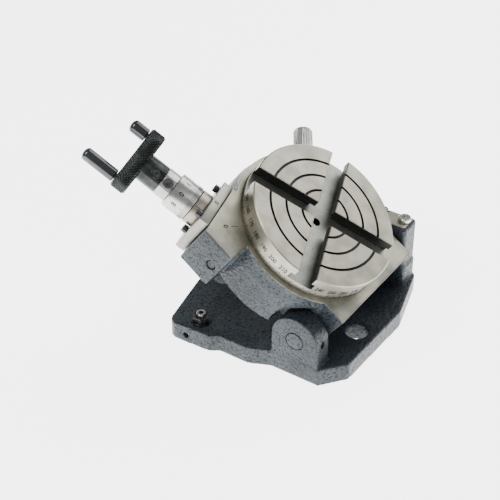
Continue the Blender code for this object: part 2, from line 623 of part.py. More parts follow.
def make_crank(start, bore, up):
    hub_end = start - GAP + HUB_LENGTH
    bar_end = hub_end + BAR_THICKNESS
    arm = tube("crank_arm", bore, HUB_RADIUS, start, hub_end + MM, BLACK, worm_frame, sides=28)
    half, round_end = BAR_LENGTH / 2, BAR_WIDTH / 2
    corners = [(-half, -round_end, round_end), (half, -round_end, round_end)]
    corners += [(half, round_end, round_end), (-half, round_end, round_end)]
    angle = about("Z", -BAR_ANGLE)
    bar = plate("crank_bar", rounded(corners, steps=7), hub_end, bar_end, None, worm_frame, angle)
    add_bevel(bar, 0.6 * MM, 1)
    bar_bore = cylinder("bar_bore", bore, start, bar_end + MM, None, worm_frame, sides=20)
    fuse(arm, bar)
    cut(arm, bar_bore)
    screw, proud = 3 * MM, 0.3 * MM
    spot = at(z=start + 0.4 * HUB_LENGTH) @ up
    cut(arm, cylinder("hub_screw_hole", screw + GAP, 0, HUB_RADIUS + MM, None, worm_frame, spot, sides=16))
    grub_screw("crank_set_screw", screw, HUB_RADIUS + proud - bore, BLACK, worm_frame,
               spot @ at(z=HUB_RADIUS + proud))
    for name, side, reach in (("long_handle", -1, LONG_GRIP), ("short_handle", 1, SHORT_GRIP)):
        spot = angle @ at(x=side * GRIP_OFFSET)
        stem, seat = 2.5 * MM, 6 * MM
        cut(arm, cylinder(name + "_hole", stem + GAP, bar_end - seat - GAP, bar_end + MM, None, worm_frame,
                          spot, sides=14))
        end = bar_end + reach
        dome = 1.2 * MM
        profile = [(0, end), (0.5 * GRIP_RADIUS, end - 0.2 * dome), (0.85 * GRIP_RADIUS, end - 0.6 * dome)]
        profile += [(GRIP_RADIUS, end - 1.6 * dome), (GRIP_RADIUS, bar_end + GAP), (stem, bar_end + GAP)]
        profile += [(stem, bar_end - seat), (0, bar_end - seat)]
        turned(name, profile, BLACK, worm_frame, spot, sides=20)


# ---- base and tilt hinge -----------------------------------------------------------------------------
def make_base():
    front, right = -LUG_FRONT, BASE_RIGHT
    far = UPRIGHT_NEAR + UPRIGHT_THICKNESS
    bulge_end = STOP_SPOT[0] + 12 * MM
    left = STOP_SPOT[0] - 18 * MM
    # From the corner under the lug, round the right side and the far side to the stop end.
    corners = [(LUG_RADIUS + MM, front, 2 * MM), (right - 1.5 * MM, front + 16 * MM, 5 * MM)]
    corners += [(right, far - 42 * MM, 12 * MM), (UPRIGHT_RIGHT + 2 * MM, far, 4 * MM)]
    corners += [(-BASE_LEFT + 14 * MM, far - 4 * MM, 16 * MM), (-BASE_LEFT, 8 * MM, 30 * MM)]
    corners += [(left - 9 * MM, -18 * MM, 20 * MM), (left, -STOP_END_FRONT, 7 * MM)]
    corners += [(bulge_end, -STOP_END_FRONT + 1.5 * MM, 5 * MM), (bulge_end + 6 * MM, front - 6 * MM, 4 * MM)]
    corners += [(-30 * MM, front - 6 * MM, 14 * MM), (-17 * MM, front, 6 * MM)]
    base = plate("base", rounded(corners, steps=4), 0, PLATE_HEIGHT, PAINT, None)
    add_bevel(base, 1.6 * MM, 1)
    hinge_line = at(z=HINGE_HEIGHT, turn=about("X", pi / 2))
    inset = 0.2 * MM
    lug = cylinder("near_lug", LUG_RADIUS, LUG_FRONT - LUG_LENGTH, LUG_FRONT - inset, None, None,
                   hinge_line, sides=40)
    pedestal = block("near_pedestal", (-LUG_RADIUS, inset - LUG_FRONT, 2 * MM),
                     (LUG_RADIUS, LUG_LENGTH - LUG_FRONT, HINGE_HEIGHT), None, None)
    upright = block("far_upright", (-UPRIGHT_LEFT, UPRIGHT_NEAR, 2 * MM),
                    (UPRIGHT_RIGHT, far - inset, UPRIGHT_TOP), None, None, bevel=2.5 * MM)
    foot = block("upright_foot", (-UPRIGHT_LEFT - 4 * MM, UPRIGHT_NEAR, 2 * MM),
                 (UPRIGHT_RIGHT + MM, far - 2 * inset, HINGE_HEIGHT), None, None, bevel=2.5 * MM)
    fuse(base, lug, pedestal, foot, upright)
    reach = 2 * far
    cut(base, cylinder("base_pin_bore", PIN_RADIUS + GAP, -reach, reach, None, None, hinge_line, sides=24))
    for k, (x, y) in enumerate((MOUNT_HOLE_RIGHT, MOUNT_HOLE_LEFT)):
        cut(base, cylinder(f"mount_hole_{k}", MOUNT_HOLE_RADIUS, -MM, PLATE_HEIGHT + MM, None, None,
                           at(x, y), sides=28))
    return base


def make_hinge_pins(base):
    line = at(z=HINGE_HEIGHT, turn=about("X", pi / 2))
    inside, edge = 18 * MM, 0.6 * MM
    far = UPRIGHT_NEAR + UPRIGHT_THICKNESS
    for name, low, high in (("near_hinge_pin", HOUSING_NEAR - inside, LUG_FRONT),
                            ("far_hinge_pin", -far, inside - HOUSING_FAR)):
        profile = [(0, high), (PIN_RADIUS - edge, high), (PIN_RADIUS, high - edge)]
        profile += [(PIN_RADIUS, low + edge), (PIN_RADIUS - edge, low), (0, low)]
        turned(name, profile, PAINT if name.startswith("near") else STEEL, None, line, sides=24)
    thread, sunk = 2 * MM, 1.5 * MM
    spot = at(LUG_RADIUS, LUG_LENGTH / 2 - LUG_FRONT, HINGE_HEIGHT) @ about("Y", pi / 2)
    cut(base, cylinder("pin_screw_hole", thread + GAP, -LUG_RADIUS + MM, 2 * MM, None, None, spot, sides=16))
    grub_screw("pin_set_screw", thread, LUG_RADIUS - sunk - PIN_RADIUS - GAP, BLACK, None, spot @ at(z=-sunk))


def make_tilt_clamp(base):
    thread, length = 2.5 * MM, 14 * MM
    spot = at(*CLAMP_SPOT, UPRIGHT_TOP)
    cut(base, cylinder("tilt_clamp_hole", thread + GAP, -length - MM, MM, None, None, spot, sides=16))
    cap_screw("tilt_clamp_screw", thread, length, BRIGHT, None, spot @ at(z=GAP), head_height=2.6 * MM)


def make_oiler(base):
    """A pressed-in oil cup above the far hinge pin, with a drilled way down to it."""
    radius, rise, deep = 2.6 * MM, 1.8 * MM, 5 * MM
    way = 1.2 * MM
    spot = at(*OILER_SPOT, UPRIGHT_TOP)
    bottom = HINGE_HEIGHT - UPRIGHT_TOP
    profile = [(0, MM), (radius + GAP, MM), (radius + GAP, -deep - GAP), (way, -deep - GAP), (way, bottom)]
    cut(base, turned("oil_way", profile + [(0, bottom)], None, None, spot, sides=16))
    cup = [(way, rise), (0.6 * radius, rise), (radius, 0.4 * rise), (radius, -deep), (way, -deep)]
    turned("hinge_oiler", cup, BRIGHT, None, spot, sides=20)


def make_stop(base):
    """The housing comes down on this screw at zero tilt; a nut and a washer lock it."""
    thread = 3 * MM
    x, y = STOP_SPOT
    stop_top = HINGE_HEIGHT + (HOUSING_BOTTOM + HINGE_BELOW_TOP) - GAP
    floor = 2 * MM
    cut(base, cylinder("stop_hole", thread + GAP, floor, PLATE_HEIGHT + MM, None, None, at(x, y), sides=20))
    grub_screw("stop_screw", thread, stop_top - floor - MM, STEEL, None, at(x, y, stop_top))
    washer, nut, flats = 1 * MM, 3.6 * MM, 10 * MM
    low = PLATE_HEIGHT + GAP
    tube("stop_washer", thread + GAP, 0.6 * flats, low, low + washer, STEEL, None, at(x, y), sides=20)
    low += washer + GAP
    hexagon = cylinder("stop_nut", flats / sqrt(3), low, low + nut, BLACK, None, at(x, y), sides=6)
    cut(hexagon, cylinder("stop_nut_bore", thread + GAP, 0, low + 2 * nut, None, None, at(x, y), sides=20))
    spot = at(x - 5 * MM, -STOP_END_FRONT + 0.5 * MM, 0.45 * PLATE_HEIGHT) @ about("X", pi / 2)
    clamp, length, sunk = 1.75 * MM, 9 * MM, 2 * MM
    cut(base, cylinder("stop_clamp_hole", clamp + GAP, -length, 2 * MM, None, None, spot, sides=16))
    grub_screw("stop_clamp_screw", clamp, length - sunk - GAP, BLACK, None, spot @ at(z=-sunk))


def main():
    housing = make_housing()
    make_table()
    make_wheel(make_spindle())
    make_spindle_nut()
    make_cover(housing)
    make_oil_plug(housing)
    make_table_lock(housing)
    make_worm()
    make_worm_bearings()
    make_flange(housing)
    make_dial_and_crank()
    base = make_base()
    make_hinge_pins(base)
    make_tilt_clamp(base)
    make_oiler(base)
    make_stop(base)


main()
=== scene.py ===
# %% [markdown]
# # Tilting rotary table
# A rotary table turns a workpiece by exact angles while it is machined. This lesson dresses a finished
# mechanical model: the frame holds every working part in its true place, and each cell adds one visible
# piece or finish. Nothing mechanical is moved. We load the frame first and remember its box.

import json
from math import ceil, cos, hypot, pi, radians, sin

import bmesh
import bpy
from mathutils import Matrix, Vector

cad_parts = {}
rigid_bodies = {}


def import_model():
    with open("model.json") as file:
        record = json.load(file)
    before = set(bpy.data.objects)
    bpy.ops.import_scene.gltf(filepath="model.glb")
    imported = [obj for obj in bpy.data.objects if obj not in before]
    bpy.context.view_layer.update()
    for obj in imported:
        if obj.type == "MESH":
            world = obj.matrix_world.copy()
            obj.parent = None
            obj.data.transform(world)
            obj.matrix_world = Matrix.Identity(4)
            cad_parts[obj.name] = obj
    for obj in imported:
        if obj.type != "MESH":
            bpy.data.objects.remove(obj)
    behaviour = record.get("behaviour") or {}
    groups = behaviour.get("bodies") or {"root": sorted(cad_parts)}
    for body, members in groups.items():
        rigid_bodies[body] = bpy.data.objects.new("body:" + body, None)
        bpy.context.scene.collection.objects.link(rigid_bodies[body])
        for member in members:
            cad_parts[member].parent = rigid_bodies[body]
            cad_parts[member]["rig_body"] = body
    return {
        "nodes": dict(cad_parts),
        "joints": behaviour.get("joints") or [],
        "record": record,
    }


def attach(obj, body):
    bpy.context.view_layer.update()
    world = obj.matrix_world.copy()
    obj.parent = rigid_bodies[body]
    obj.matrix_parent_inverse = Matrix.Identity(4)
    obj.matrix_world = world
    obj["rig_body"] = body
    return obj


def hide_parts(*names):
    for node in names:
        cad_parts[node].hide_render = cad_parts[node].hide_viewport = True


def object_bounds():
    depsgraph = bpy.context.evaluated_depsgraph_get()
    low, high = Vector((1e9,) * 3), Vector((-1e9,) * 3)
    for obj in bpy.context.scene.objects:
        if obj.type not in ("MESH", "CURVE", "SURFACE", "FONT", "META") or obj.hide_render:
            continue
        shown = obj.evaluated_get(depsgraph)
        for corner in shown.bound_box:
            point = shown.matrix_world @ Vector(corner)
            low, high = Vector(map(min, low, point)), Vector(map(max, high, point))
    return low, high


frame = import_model()
cad_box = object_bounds()
MM = 0.001
joints = {joint["name"]: joint for joint in frame["joints"]}
openings = {opening["name"]: opening for opening in frame["record"]["physics"]["openings"]}

# %% [markdown]
# ## Local axes
# The table is tilted, so its parts are awkward to describe in upright axes. Each group of parts has a joint
# with a point and a direction, and a matrix built from those gives axes in which the table is flat again and
# the crank points along Z. Pieces are modelled in those axes and placed by the matrix, so their own object
# coordinates also suit the turned and brushed textures.


# %% Axes from the joints
def axes_at(origin, z_axis, x_axis):
    """A placement whose local Z and X run along these two directions."""
    z, x = Vector(z_axis).normalized(), Vector(x_axis).normalized()
    made = Matrix((x, z.cross(x), z)).transposed().to_4x4()
    made.translation = origin
    return made


face_up = Vector(joints["table_spin"]["axis"])
crank_out = Vector(joints["crank_spin"]["axis"])
upright_place = Matrix.Identity(4)
table_place = axes_at(joints["table_spin"]["pos_m"], face_up, Vector((0, 1, 0)).cross(face_up))
worm_place = axes_at(joints["crank_spin"]["pos_m"], crank_out, (-face_up).cross(crank_out))
lock_place = axes_at(joints["lock_turn"]["pos_m"], joints["lock_turn"]["axis"], -face_up)
hinge_place = axes_at(joints["tilt"]["pos_m"], (0, -1, 0), (1, 0, 0))
print("table axes at", [round(v / MM, 1) for v in table_place.translation], "mm")


# %% [markdown]
# ## Measuring the frame
# Every new piece copies its sizes from the part that it stands for. Looking at a part's points in its own
# axes gives its lowest and highest height and its greatest radius, which is all that a turned piece needs.


# %% Heights and radius of a part
def span(node, place):
    """Lowest height, highest height and greatest radius of a part in the given axes."""
    inverse = place.inverted()
    points = [inverse @ vertex.co for vertex in frame["nodes"][node].data.vertices]
    heights = [point.z for point in points]
    return min(heights), max(heights), max(hypot(point.x, point.y) for point in points)


table_low, table_high, table_radius = span("table", table_place)
print(f"table: radius {table_radius / MM:.1f} mm, height {(table_high - table_low) / MM:.1f} mm")

# %% [markdown]
# ## Shared effects as node groups
# Machined steel, black screws and paint share a few effects: fine turned lines, cloudy smudges, long
# brushed streaks and the pebbled dimples of hammered paint. Each effect is a shader node group with named
# inputs, made once. A material drops a group in with its own values, so a change to the effect shows
# everywhere.


# %% A helper for node groups
def start_group(name, inputs, outputs):
    """An empty shader group with float inputs (name: default), a Coordinates input and float outputs."""
    tree = bpy.data.node_groups.new(name, "ShaderNodeTree")
    tree.interface.new_socket(name="Coordinates", in_out="INPUT", socket_type="NodeSocketVector")
    for title, value in inputs.items():
        made = tree.interface.new_socket(name=title, in_out="INPUT", socket_type="NodeSocketFloat")
        made.default_value = value
    for title in outputs:
        tree.interface.new_socket(name=title, in_out="OUTPUT", socket_type="NodeSocketFloat")
    return tree, tree.nodes.new("NodeGroupInput"), tree.nodes.new("NodeGroupOutput")


def math_node(tree, operation, first, second=None):
    """A Math node; each operand is a socket or a number."""
    made = tree.nodes.new("ShaderNodeMath")
    made.operation = operation
    for index, value in enumerate((first, second)):
        if isinstance(value, (int, float)):
            made.inputs[index].default_value = value
        elif value is not None:
            tree.links.new(value, made.inputs[index])
    return made.outputs[0]


def noise_node(tree, vector, scale, detail=3.0, roughness=0.5):
    """A 3D noise texture; scale is a socket or a number."""
    made = tree.nodes.new("ShaderNodeTexNoise")
    tree.links.new(vector, made.inputs["Vector"])
    made.inputs["Detail"].default_value = detail
    made.inputs["Roughness"].default_value = roughness
    if isinstance(scale, (int, float)):
        made.inputs["Scale"].default_value = scale
    else:
        tree.links.new(scale, made.inputs["Scale"])
    return made.outputs["Fac"]


def band(tree, value, low, high):
    """0 below low, 1 above high and a smooth rise between."""
    made = tree.nodes.new("ShaderNodeMapRange")
    made.interpolation_type = "SMOOTHSTEP"
    tree.links.new(value, made.inputs["Value"])
    made.inputs["From Min"].default_value = low
    made.inputs["From Max"].default_value = high
    return made.outputs["Result"]


print("node group helpers ready")

# %% [markdown]
# ## Turned lines
# A lathe tool leaves rings round the axis, far finer than any mesh should hold. The noise is looked up by
# distance from the axis and by height but not by angle, so it becomes rings.


# %% Group: turned lines
def build_turned_lines():
    tree, given, result = start_group("turned_lines", {"Lines per metre": 2500.0}, ["Lines", "Broad rings"])
    parts = tree.nodes.new("ShaderNodeSeparateXYZ")
    tree.links.new(given.outputs["Coordinates"], parts.inputs[0])
    x, y, z = parts.outputs
    squares = math_node(tree, "ADD", math_node(tree, "MULTIPLY", x, x), math_node(tree, "MULTIPLY", y, y))
    radius = math_node(tree, "SQRT", squares)
    ring = tree.nodes.new("ShaderNodeCombineXYZ")
    tree.links.new(radius, ring.inputs[0])
    tree.links.new(z, ring.inputs[1])
    fine = noise_node(tree, ring.outputs[0], given.outputs["Lines per metre"], 2.0, 0.6)
    broad = noise_node(tree, ring.outputs[0], math_node(tree, "MULTIPLY", given.outputs[1], 0.12), 1.0)
    tree.links.new(fine, result.inputs["Lines"])
    tree.links.new(broad, result.inputs["Broad rings"])
    return tree


turned_lines = build_turned_lines()
print("group:", turned_lines.name)

# %% [markdown]
# ## Brushed streaks
# Milled and drawn bars show streaks along their length. Squeezing the coordinates along one axis before the
# noise stretches its blotches into streaks.


# %% Group: brushed streaks
def build_brushed_streaks():
    tree, given, result = start_group("brushed_streaks", {"Streaks per metre": 1800.0}, ["Streaks"])
    squeeze = tree.nodes.new("ShaderNodeVectorMath")
    squeeze.operation = "MULTIPLY"
    squeeze.inputs[1].default_value = (1.0, 1.0, 0.04)
    tree.links.new(given.outputs["Coordinates"], squeeze.inputs[0])
    streaks = noise_node(tree, squeeze.outputs[0], given.outputs["Streaks per metre"], 3.0, 0.6)
    tree.links.new(streaks, result.inputs["Streaks"])
    return tree


brushed_streaks = build_brushed_streaks()
print("group:", brushed_streaks.name)

# %% [markdown]
# ## Smudges
# Bare steel that has been handled is never even: oil and fingerprints dull it in soft clouds. A coarse noise
# gives the clouds and a finer one gives specks, which keeps large flat faces from looking dead.


# %% Group: smudges
def build_smudges():
    tree, given, result = start_group("smudges", {"Clouds per metre": 60.0}, ["Smudge", "Specks"])
    clouds = noise_node(tree, given.outputs["Coordinates"], given.outputs["Clouds per metre"], 4.0, 0.55)
    tree.links.new(band(tree, clouds, 0.35, 0.68), result.inputs["Smudge"])
    finer = math_node(tree, "MULTIPLY", given.outputs["Clouds per metre"], 14.0)
    specks = noise_node(tree, given.outputs["Coordinates"], finer, 2.0, 0.5)
    tree.links.new(band(tree, specks, 0.62, 0.74), result.inputs["Specks"])
    return tree


smudges = build_smudges()
print("group:", smudges.name)

# %% [markdown]
# ## Hammered paint
# Hammered paint dries into small smooth dimples with darker rims, about a millimetre across. Cell noise gives
# the dimples, a wobble in the coordinates breaks them up, and one group puts out the dimples' height, the
# dark flecks and some broad patches of colour.


# %% Group: hammered paint
def build_hammered():
    outputs = ["Dimples", "Flecks", "Patches"]
    tree, given, result = start_group("hammered", {"Dimples per metre": 620.0}, outputs)
    coordinates, scale = given.outputs[0], given.outputs[1]
    wobble = tree.nodes.new("ShaderNodeTexNoise")
    tree.links.new(coordinates, wobble.inputs["Vector"])
    tree.links.new(scale, wobble.inputs["Scale"])
    shift = tree.nodes.new("ShaderNodeVectorMath")
    shift.operation = "MULTIPLY_ADD"
    tree.links.new(wobble.outputs["Color"], shift.inputs[0])
    shift.inputs[1].default_value = (0.0022,) * 3
    tree.links.new(coordinates, shift.inputs[2])
    cells = tree.nodes.new("ShaderNodeTexVoronoi")
    cells.feature = "SMOOTH_F1"
    cells.inputs["Smoothness"].default_value = 0.6
    tree.links.new(shift.outputs[0], cells.inputs["Vector"])
    tree.links.new(scale, cells.inputs["Scale"])
    tree.links.new(cells.outputs["Distance"], result.inputs["Dimples"])
    flecks = noise_node(tree, shift.outputs[0], math_node(tree, "MULTIPLY", scale, 1.3), 2.5, 0.6)
    tree.links.new(band(tree, flecks, 0.50, 0.64), result.inputs["Flecks"])
    patches = noise_node(tree, coordinates, math_node(tree, "MULTIPLY", scale, 0.06), 3.0)
    tree.links.new(band(tree, patches, 0.35, 0.65), result.inputs["Patches"])
    return tree


hammered = build_hammered()
print("group:", hammered.name)

# %% [markdown]
# ## Materials
# A finish starts as a Principled shader with its plain values, then takes its colour mix, gloss and bump from
# the groups. Small helpers keep each recipe short: one places a group, one mixes two colours by a mask, one
# turns a mask into a range of roughness, and one sets the bump.


# %% Helpers for finishes
def start_finish(name, metallic, roughness):
    """A new material, its node tree, its shader, and its object coordinates."""
    made = bpy.data.materials.new(name)
    made.use_nodes = True
    tree = made.node_tree
    shader = tree.nodes["Principled BSDF"]
    shader.inputs["Metallic"].default_value = metallic
    shader.inputs["Roughness"].default_value = roughness
    coordinates = tree.nodes.new("ShaderNodeTexCoord").outputs["Object"]
    return made, tree, shader, coordinates


def place_group(tree, group, coordinates, scale):
    """A group in a material, fed with coordinates and its scale."""
    made = tree.nodes.new("ShaderNodeGroup")
    made.node_tree = group
    tree.links.new(coordinates, made.inputs["Coordinates"])
    made.inputs[1].default_value = scale
    return made.outputs


def mix_colours(tree, mask, first, second):
    """first where the mask is 0 and second where it is 1; each is a colour or a socket."""
    made = tree.nodes.new("ShaderNodeMix")
    made.data_type = "RGBA"
    tree.links.new(mask, made.inputs["Factor"])
    for socket, value in ((made.inputs[6], first), (made.inputs[7], second)):
        if isinstance(value, tuple):
            socket.default_value = (*value, 1.0)
        else:
            tree.links.new(value, socket)
    return made.outputs[2]


def spread(tree, mask, low, high):
    """The mask stretched from low to high."""
    made = tree.nodes.new("ShaderNodeMapRange")
    tree.links.new(mask, made.inputs["Value"])
    made.inputs["To Min"].default_value = low
    made.inputs["To Max"].default_value = high
    return made.outputs["Result"]


def set_bump(tree, shader, height, depth):
    """A Bump node on the shader; depth is the real height in metres that the mask stands for."""
    made = tree.nodes.new("ShaderNodeBump")
    made.inputs["Distance"].default_value = depth
    made.inputs["Strength"].default_value = 1.0
    tree.links.new(height, made.inputs["Height"])
    tree.links.new(made.outputs[0], shader.inputs["Normal"])


print("finish helpers ready")

# %% [markdown]
# ## Bare steel finishes
# The table top is faced on a lathe, so it shows rings and a warm pale grey. Bars and the dial are brushed or
# polished. One recipe makes them all: two near colours mixed by smudges, lines in the roughness and a bump a
# few microns deep.


# %% Recipe: bare steel
def steel(name, pale, dull, gloss, group, lines, depth):
    """Bare steel with marks from one of the line groups. gloss is (lowest, highest) roughness."""
    made, tree, shader, coordinates = start_finish(name, 1.0, sum(gloss) / 2)
    marks = place_group(tree, group, coordinates, lines)
    cloud = place_group(tree, smudges, coordinates, 70.0)
    colour = mix_colours(tree, cloud["Smudge"], pale, dull)
    darker = tuple(0.72 * channel for channel in dull)
    colour = mix_colours(tree, band(tree, marks[0], 0.5, 0.85), colour, darker)
    colour = mix_colours(tree, math_node(tree, "MULTIPLY", cloud["Specks"], 0.5), colour, darker)
    tree.links.new(colour, shader.inputs["Base Color"])
    tree.links.new(spread(tree, marks[0], *gloss), shader.inputs["Roughness"])
    set_bump(tree, shader, marks[0], depth)
    return made


TABLE_PALE, TABLE_DULL = (0.37, 0.355, 0.295), (0.25, 0.24, 0.20)
table_steel = steel("faced_table_steel", TABLE_PALE, TABLE_DULL, (0.3, 0.5), turned_lines, 2600.0, 1.2e-5)
bright_steel = steel("bright_turned_steel", (0.52, 0.52, 0.50), (0.34, 0.345, 0.335), (0.2, 0.36),
                     turned_lines, 2600.0, 4e-6)
flange_steel = steel("milled_flange_steel", (0.37, 0.36, 0.31), (0.25, 0.245, 0.22), (0.34, 0.5),
                     brushed_streaks, 1500.0, 6e-6)
collar_steel = steel("warm_collar_steel", (0.40, 0.365, 0.30), (0.27, 0.245, 0.20), (0.3, 0.45),
                     turned_lines, 2600.0, 5e-6)
grip_steel = steel("polished_dark_steel", (0.10, 0.105, 0.11), (0.06, 0.064, 0.068), (0.16, 0.3),
                   brushed_streaks, 1200.0, 3e-6)
# Slot, groove and bore walls: near black as painted shade, for the shade that falls in these recesses.
slot_painted_shade = steel("slot_wall_painted_shade", (0.045, 0.047, 0.045), (0.025, 0.026, 0.025), (0.35, 0.6),
                   brushed_streaks, 1500.0, 8e-6)
floor_steel = steel("slot_floor_steel", (0.36, 0.37, 0.33), (0.25, 0.26, 0.235), (0.35, 0.55),
                    brushed_streaks, 900.0, 1.2e-5)
bronze = steel("gear_bronze", (0.52, 0.33, 0.14), (0.40, 0.25, 0.10), (0.28, 0.45),
               turned_lines, 2000.0, 5e-6)
print("steel finishes made")

# %% [markdown]
# ## Black screws and the crank arm
# Screws are blacked by hot oxide: nearly black and a little glossy, with paler patches where they have been
# rubbed.
# The crank arm is oxide too but rubbed, so it is a dark grey-green.


# %% Recipe: oxide black
def oxide(name, deep, worn, gloss):
    """A blacked steel, paler in the soft patches where it has been rubbed."""
    made, tree, shader, coordinates = start_finish(name, 0.85, sum(gloss) / 2)
    cloud = place_group(tree, smudges, coordinates, 160.0)
    marks = place_group(tree, turned_lines, coordinates, 2200.0)
    colour = mix_colours(tree, cloud["Smudge"], deep, worn)
    tree.links.new(colour, shader.inputs["Base Color"])
    tree.links.new(spread(tree, cloud["Specks"], *gloss), shader.inputs["Roughness"])
    set_bump(tree, shader, marks["Lines"], 5e-6)
    return made


black_oxide = oxide("screw_black", (0.025, 0.025, 0.027), (0.10, 0.10, 0.10), (0.22, 0.38))
crank_black = oxide("crank_dark_steel", (0.018, 0.021, 0.021), (0.042, 0.048, 0.046), (0.3, 0.45))
engraved_black = oxide("engraving_black", (0.012, 0.012, 0.012), (0.03, 0.03, 0.03), (0.5, 0.7))
print("oxide finishes made")

# %% [markdown]
# ## Paint with a machined face
# Base and housing are castings in blue-grey hammered paint, milled flat afterwards where something seats on
# them. Paint and milled steel share one mesh, so one material holds both, and the height of a point above the
# milled level decides which one shows. That keeps the border exactly on the edge of the milled face.


# %% Recipe: hammered paint, milled above a level
MILLED_PALE, MILLED_DULL = (0.42, 0.405, 0.325), (0.20, 0.20, 0.17)
BLUE_GREY = ((0.036, 0.046, 0.054), (0.017, 0.023, 0.029), (0.002, 0.003, 0.004))
EDGE = 0.25 * MM  # how far below a milled face its colour ends


def mix_numbers(tree, mask, first, second):
    """first where the mask is 0 and second where it is 1; all three are sockets."""
    made = tree.nodes.new("ShaderNodeMix")
    for index, socket in ((0, mask), (2, first), (3, second)):
        tree.links.new(socket, made.inputs[index])
    return made.outputs[0]


def casting(name, milled_level, tint, dimple_scale=520.0, dimple_depth=3.2e-4):
    """Paint below milled_level on local Z and milled steel above; tint is (light, middle, dark)."""
    made, tree, shader, coordinates = start_finish(name, 0.0, 0.42)
    paint = place_group(tree, hammered, coordinates, dimple_scale)
    light, middle, dark = tint
    colour = mix_colours(tree, paint["Patches"], light, middle)
    colour = mix_colours(tree, paint["Flecks"], colour, dark)
    parts = tree.nodes.new("ShaderNodeSeparateXYZ")
    tree.links.new(coordinates, parts.inputs[0])
    milled = math_node(tree, "GREATER_THAN", parts.outputs["Z"], milled_level)
    cloud = place_group(tree, smudges, coordinates, 45.0)
    lines = place_group(tree, brushed_streaks, coordinates, 900.0)
    steel_colour = mix_colours(tree, cloud["Smudge"], MILLED_PALE, MILLED_DULL)
    tree.links.new(mix_colours(tree, milled, colour, steel_colour), shader.inputs["Base Color"])
    tree.links.new(spread(tree, milled, 0.0, 0.95), shader.inputs["Metallic"])
    paint_gloss = spread(tree, paint["Flecks"], 0.34, 0.55)
    milled_gloss = spread(tree, lines[0], 0.34, 0.5)
    tree.links.new(mix_numbers(tree, milled, paint_gloss, milled_gloss), shader.inputs["Roughness"])
    flat = math_node(tree, "SUBTRACT", 1.0, milled)
    set_bump(tree, shader, math_node(tree, "MULTIPLY", paint["Dimples"], flat), dimple_depth)
    shader.inputs["Specular IOR Level"].default_value = 0.25
    return made


housing_top = span("housing", table_place)[1]
base_low, base_top, _ = span("base", upright_place)
housing_paint = casting("housing_paint", housing_top - EDGE, BLUE_GREY)
base_paint = casting("base_paint", base_top - EDGE, BLUE_GREY)
print(f"milled levels: housing {housing_top / MM:.1f} mm, base {base_top / MM:.1f} mm")

# %% [markdown]
# ## Making a piece
# Every visible piece is a mesh in its own axes that is placed once, rides on the body that carries it, names
# the finish it takes and hides the plain part that it stands for. One function does all four, so no piece can
# be left behind when the table turns or tilts.


# %% Place, ride, finish, replace
def linked(name, data):
    """A new object in the scene that holds this data."""
    made = bpy.data.objects.new(name, data)
    bpy.context.collection.objects.link(made)
    return made


def make_piece(name, mesh, place, body, finish, stands_for=()):
    """A mesh as an object that rides on a body and stands for parts of the frame."""
    piece = linked(name, mesh)
    piece.matrix_world = place
    mesh.materials.clear()
    mesh.materials.append(finish)
    mesh.shade_smooth()
    mesh.set_sharp_from_angle(angle=radians(32))
    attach(piece, body)
    if stands_for:
        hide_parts(*stands_for)
    return piece


def from_bmesh(name, work):
    """The bmesh as a finished mesh with its normals outwards."""
    bmesh.ops.recalc_face_normals(work, faces=work.faces)
    mesh = bpy.data.meshes.new(name)
    work.to_mesh(mesh)
    work.free()
    return mesh


def applied(holder, *others):
    """The object's mesh with its modifiers applied; this object and the others are then removed."""
    bpy.context.view_layer.update()
    graph = bpy.context.evaluated_depsgraph_get()
    made = bpy.data.meshes.new_from_object(holder.evaluated_get(graph))
    for done in (holder, *others):
        bpy.data.objects.remove(done)
    return made


print("piece helpers ready")

# %% [markdown]
# ## Turned pieces
# A lathe makes a shape from an outline of radius and height. Doing it point by point in bmesh gives full
# control: an outline point on the axis becomes one vertex, and the radius may change with the angle, which
# is all that flutes on a knob need.


# %% Lathe
def join_rings(work, rings, closed):
    """Faces between neighbouring rings of points; a closed set also joins its last ring to its first."""
    for index in range(len(rings) if closed else len(rings) - 1):
        one, two = rings[index], rings[(index + 1) % len(rings)]
        for step in range(len(one)):
            after = (step + 1) % len(one)
            corners = [one[step], one[after], two[after], two[step]]
            work.faces.new(list(dict.fromkeys(corners)))


def lathe(name, outline, sides=128, shape=None):
    """Turns (radius, height) points round Z; shape(radius, height, angle) may change a radius."""
    work = bmesh.new()
    rings = []
    for radius, height in outline:
        if radius == 0:
            rings.append([work.verts.new((0, 0, height))] * sides)
            continue
        ring = []
        for step in range(sides):
            angle = 2 * pi * step / sides
            wide = shape(radius, height, angle) if shape else radius
            ring.append(work.verts.new((wide * cos(angle), wide * sin(angle), height)))
        rings.append(ring)
    join_rings(work, rings, closed=outline[0][0] > 0)
    return from_bmesh(name, work)


def eased(corners, radius, steps=3):
    """An outline of (radius, height) corners, each rounded by a short arc of the given size."""
    made = []
    for index, corner in enumerate(corners):
        here = Vector(corner)
        before, after = Vector(corners[index - 1]), Vector(corners[(index + 1) % len(corners)])
        if corner[0] == 0:
            made.append(tuple(corner))
            continue
        back, ahead = before - here, after - here
        reach = min(radius, 0.4 * back.length, 0.4 * ahead.length)
        start, end = here + back.normalized() * reach, here + ahead.normalized() * reach
        for step in range(steps + 1):
            t = step / steps
            point = (1 - t) ** 2 * start + 2 * t * (1 - t) * here + t ** 2 * end
            made.append((max(point.x, 0.0), point.y))
    return made


print("lathe ready")

# %% [markdown]
# ## The table
# The faceplate is a steel disc with three fine ring grooves for centring work by eye, a bore, and four
# T-slots. The disc with its grooves is turned from one outline. The slots are cut by a boolean with a
# T-shaped cutter that widens at its top, which leaves the small chamfer a real slot has.

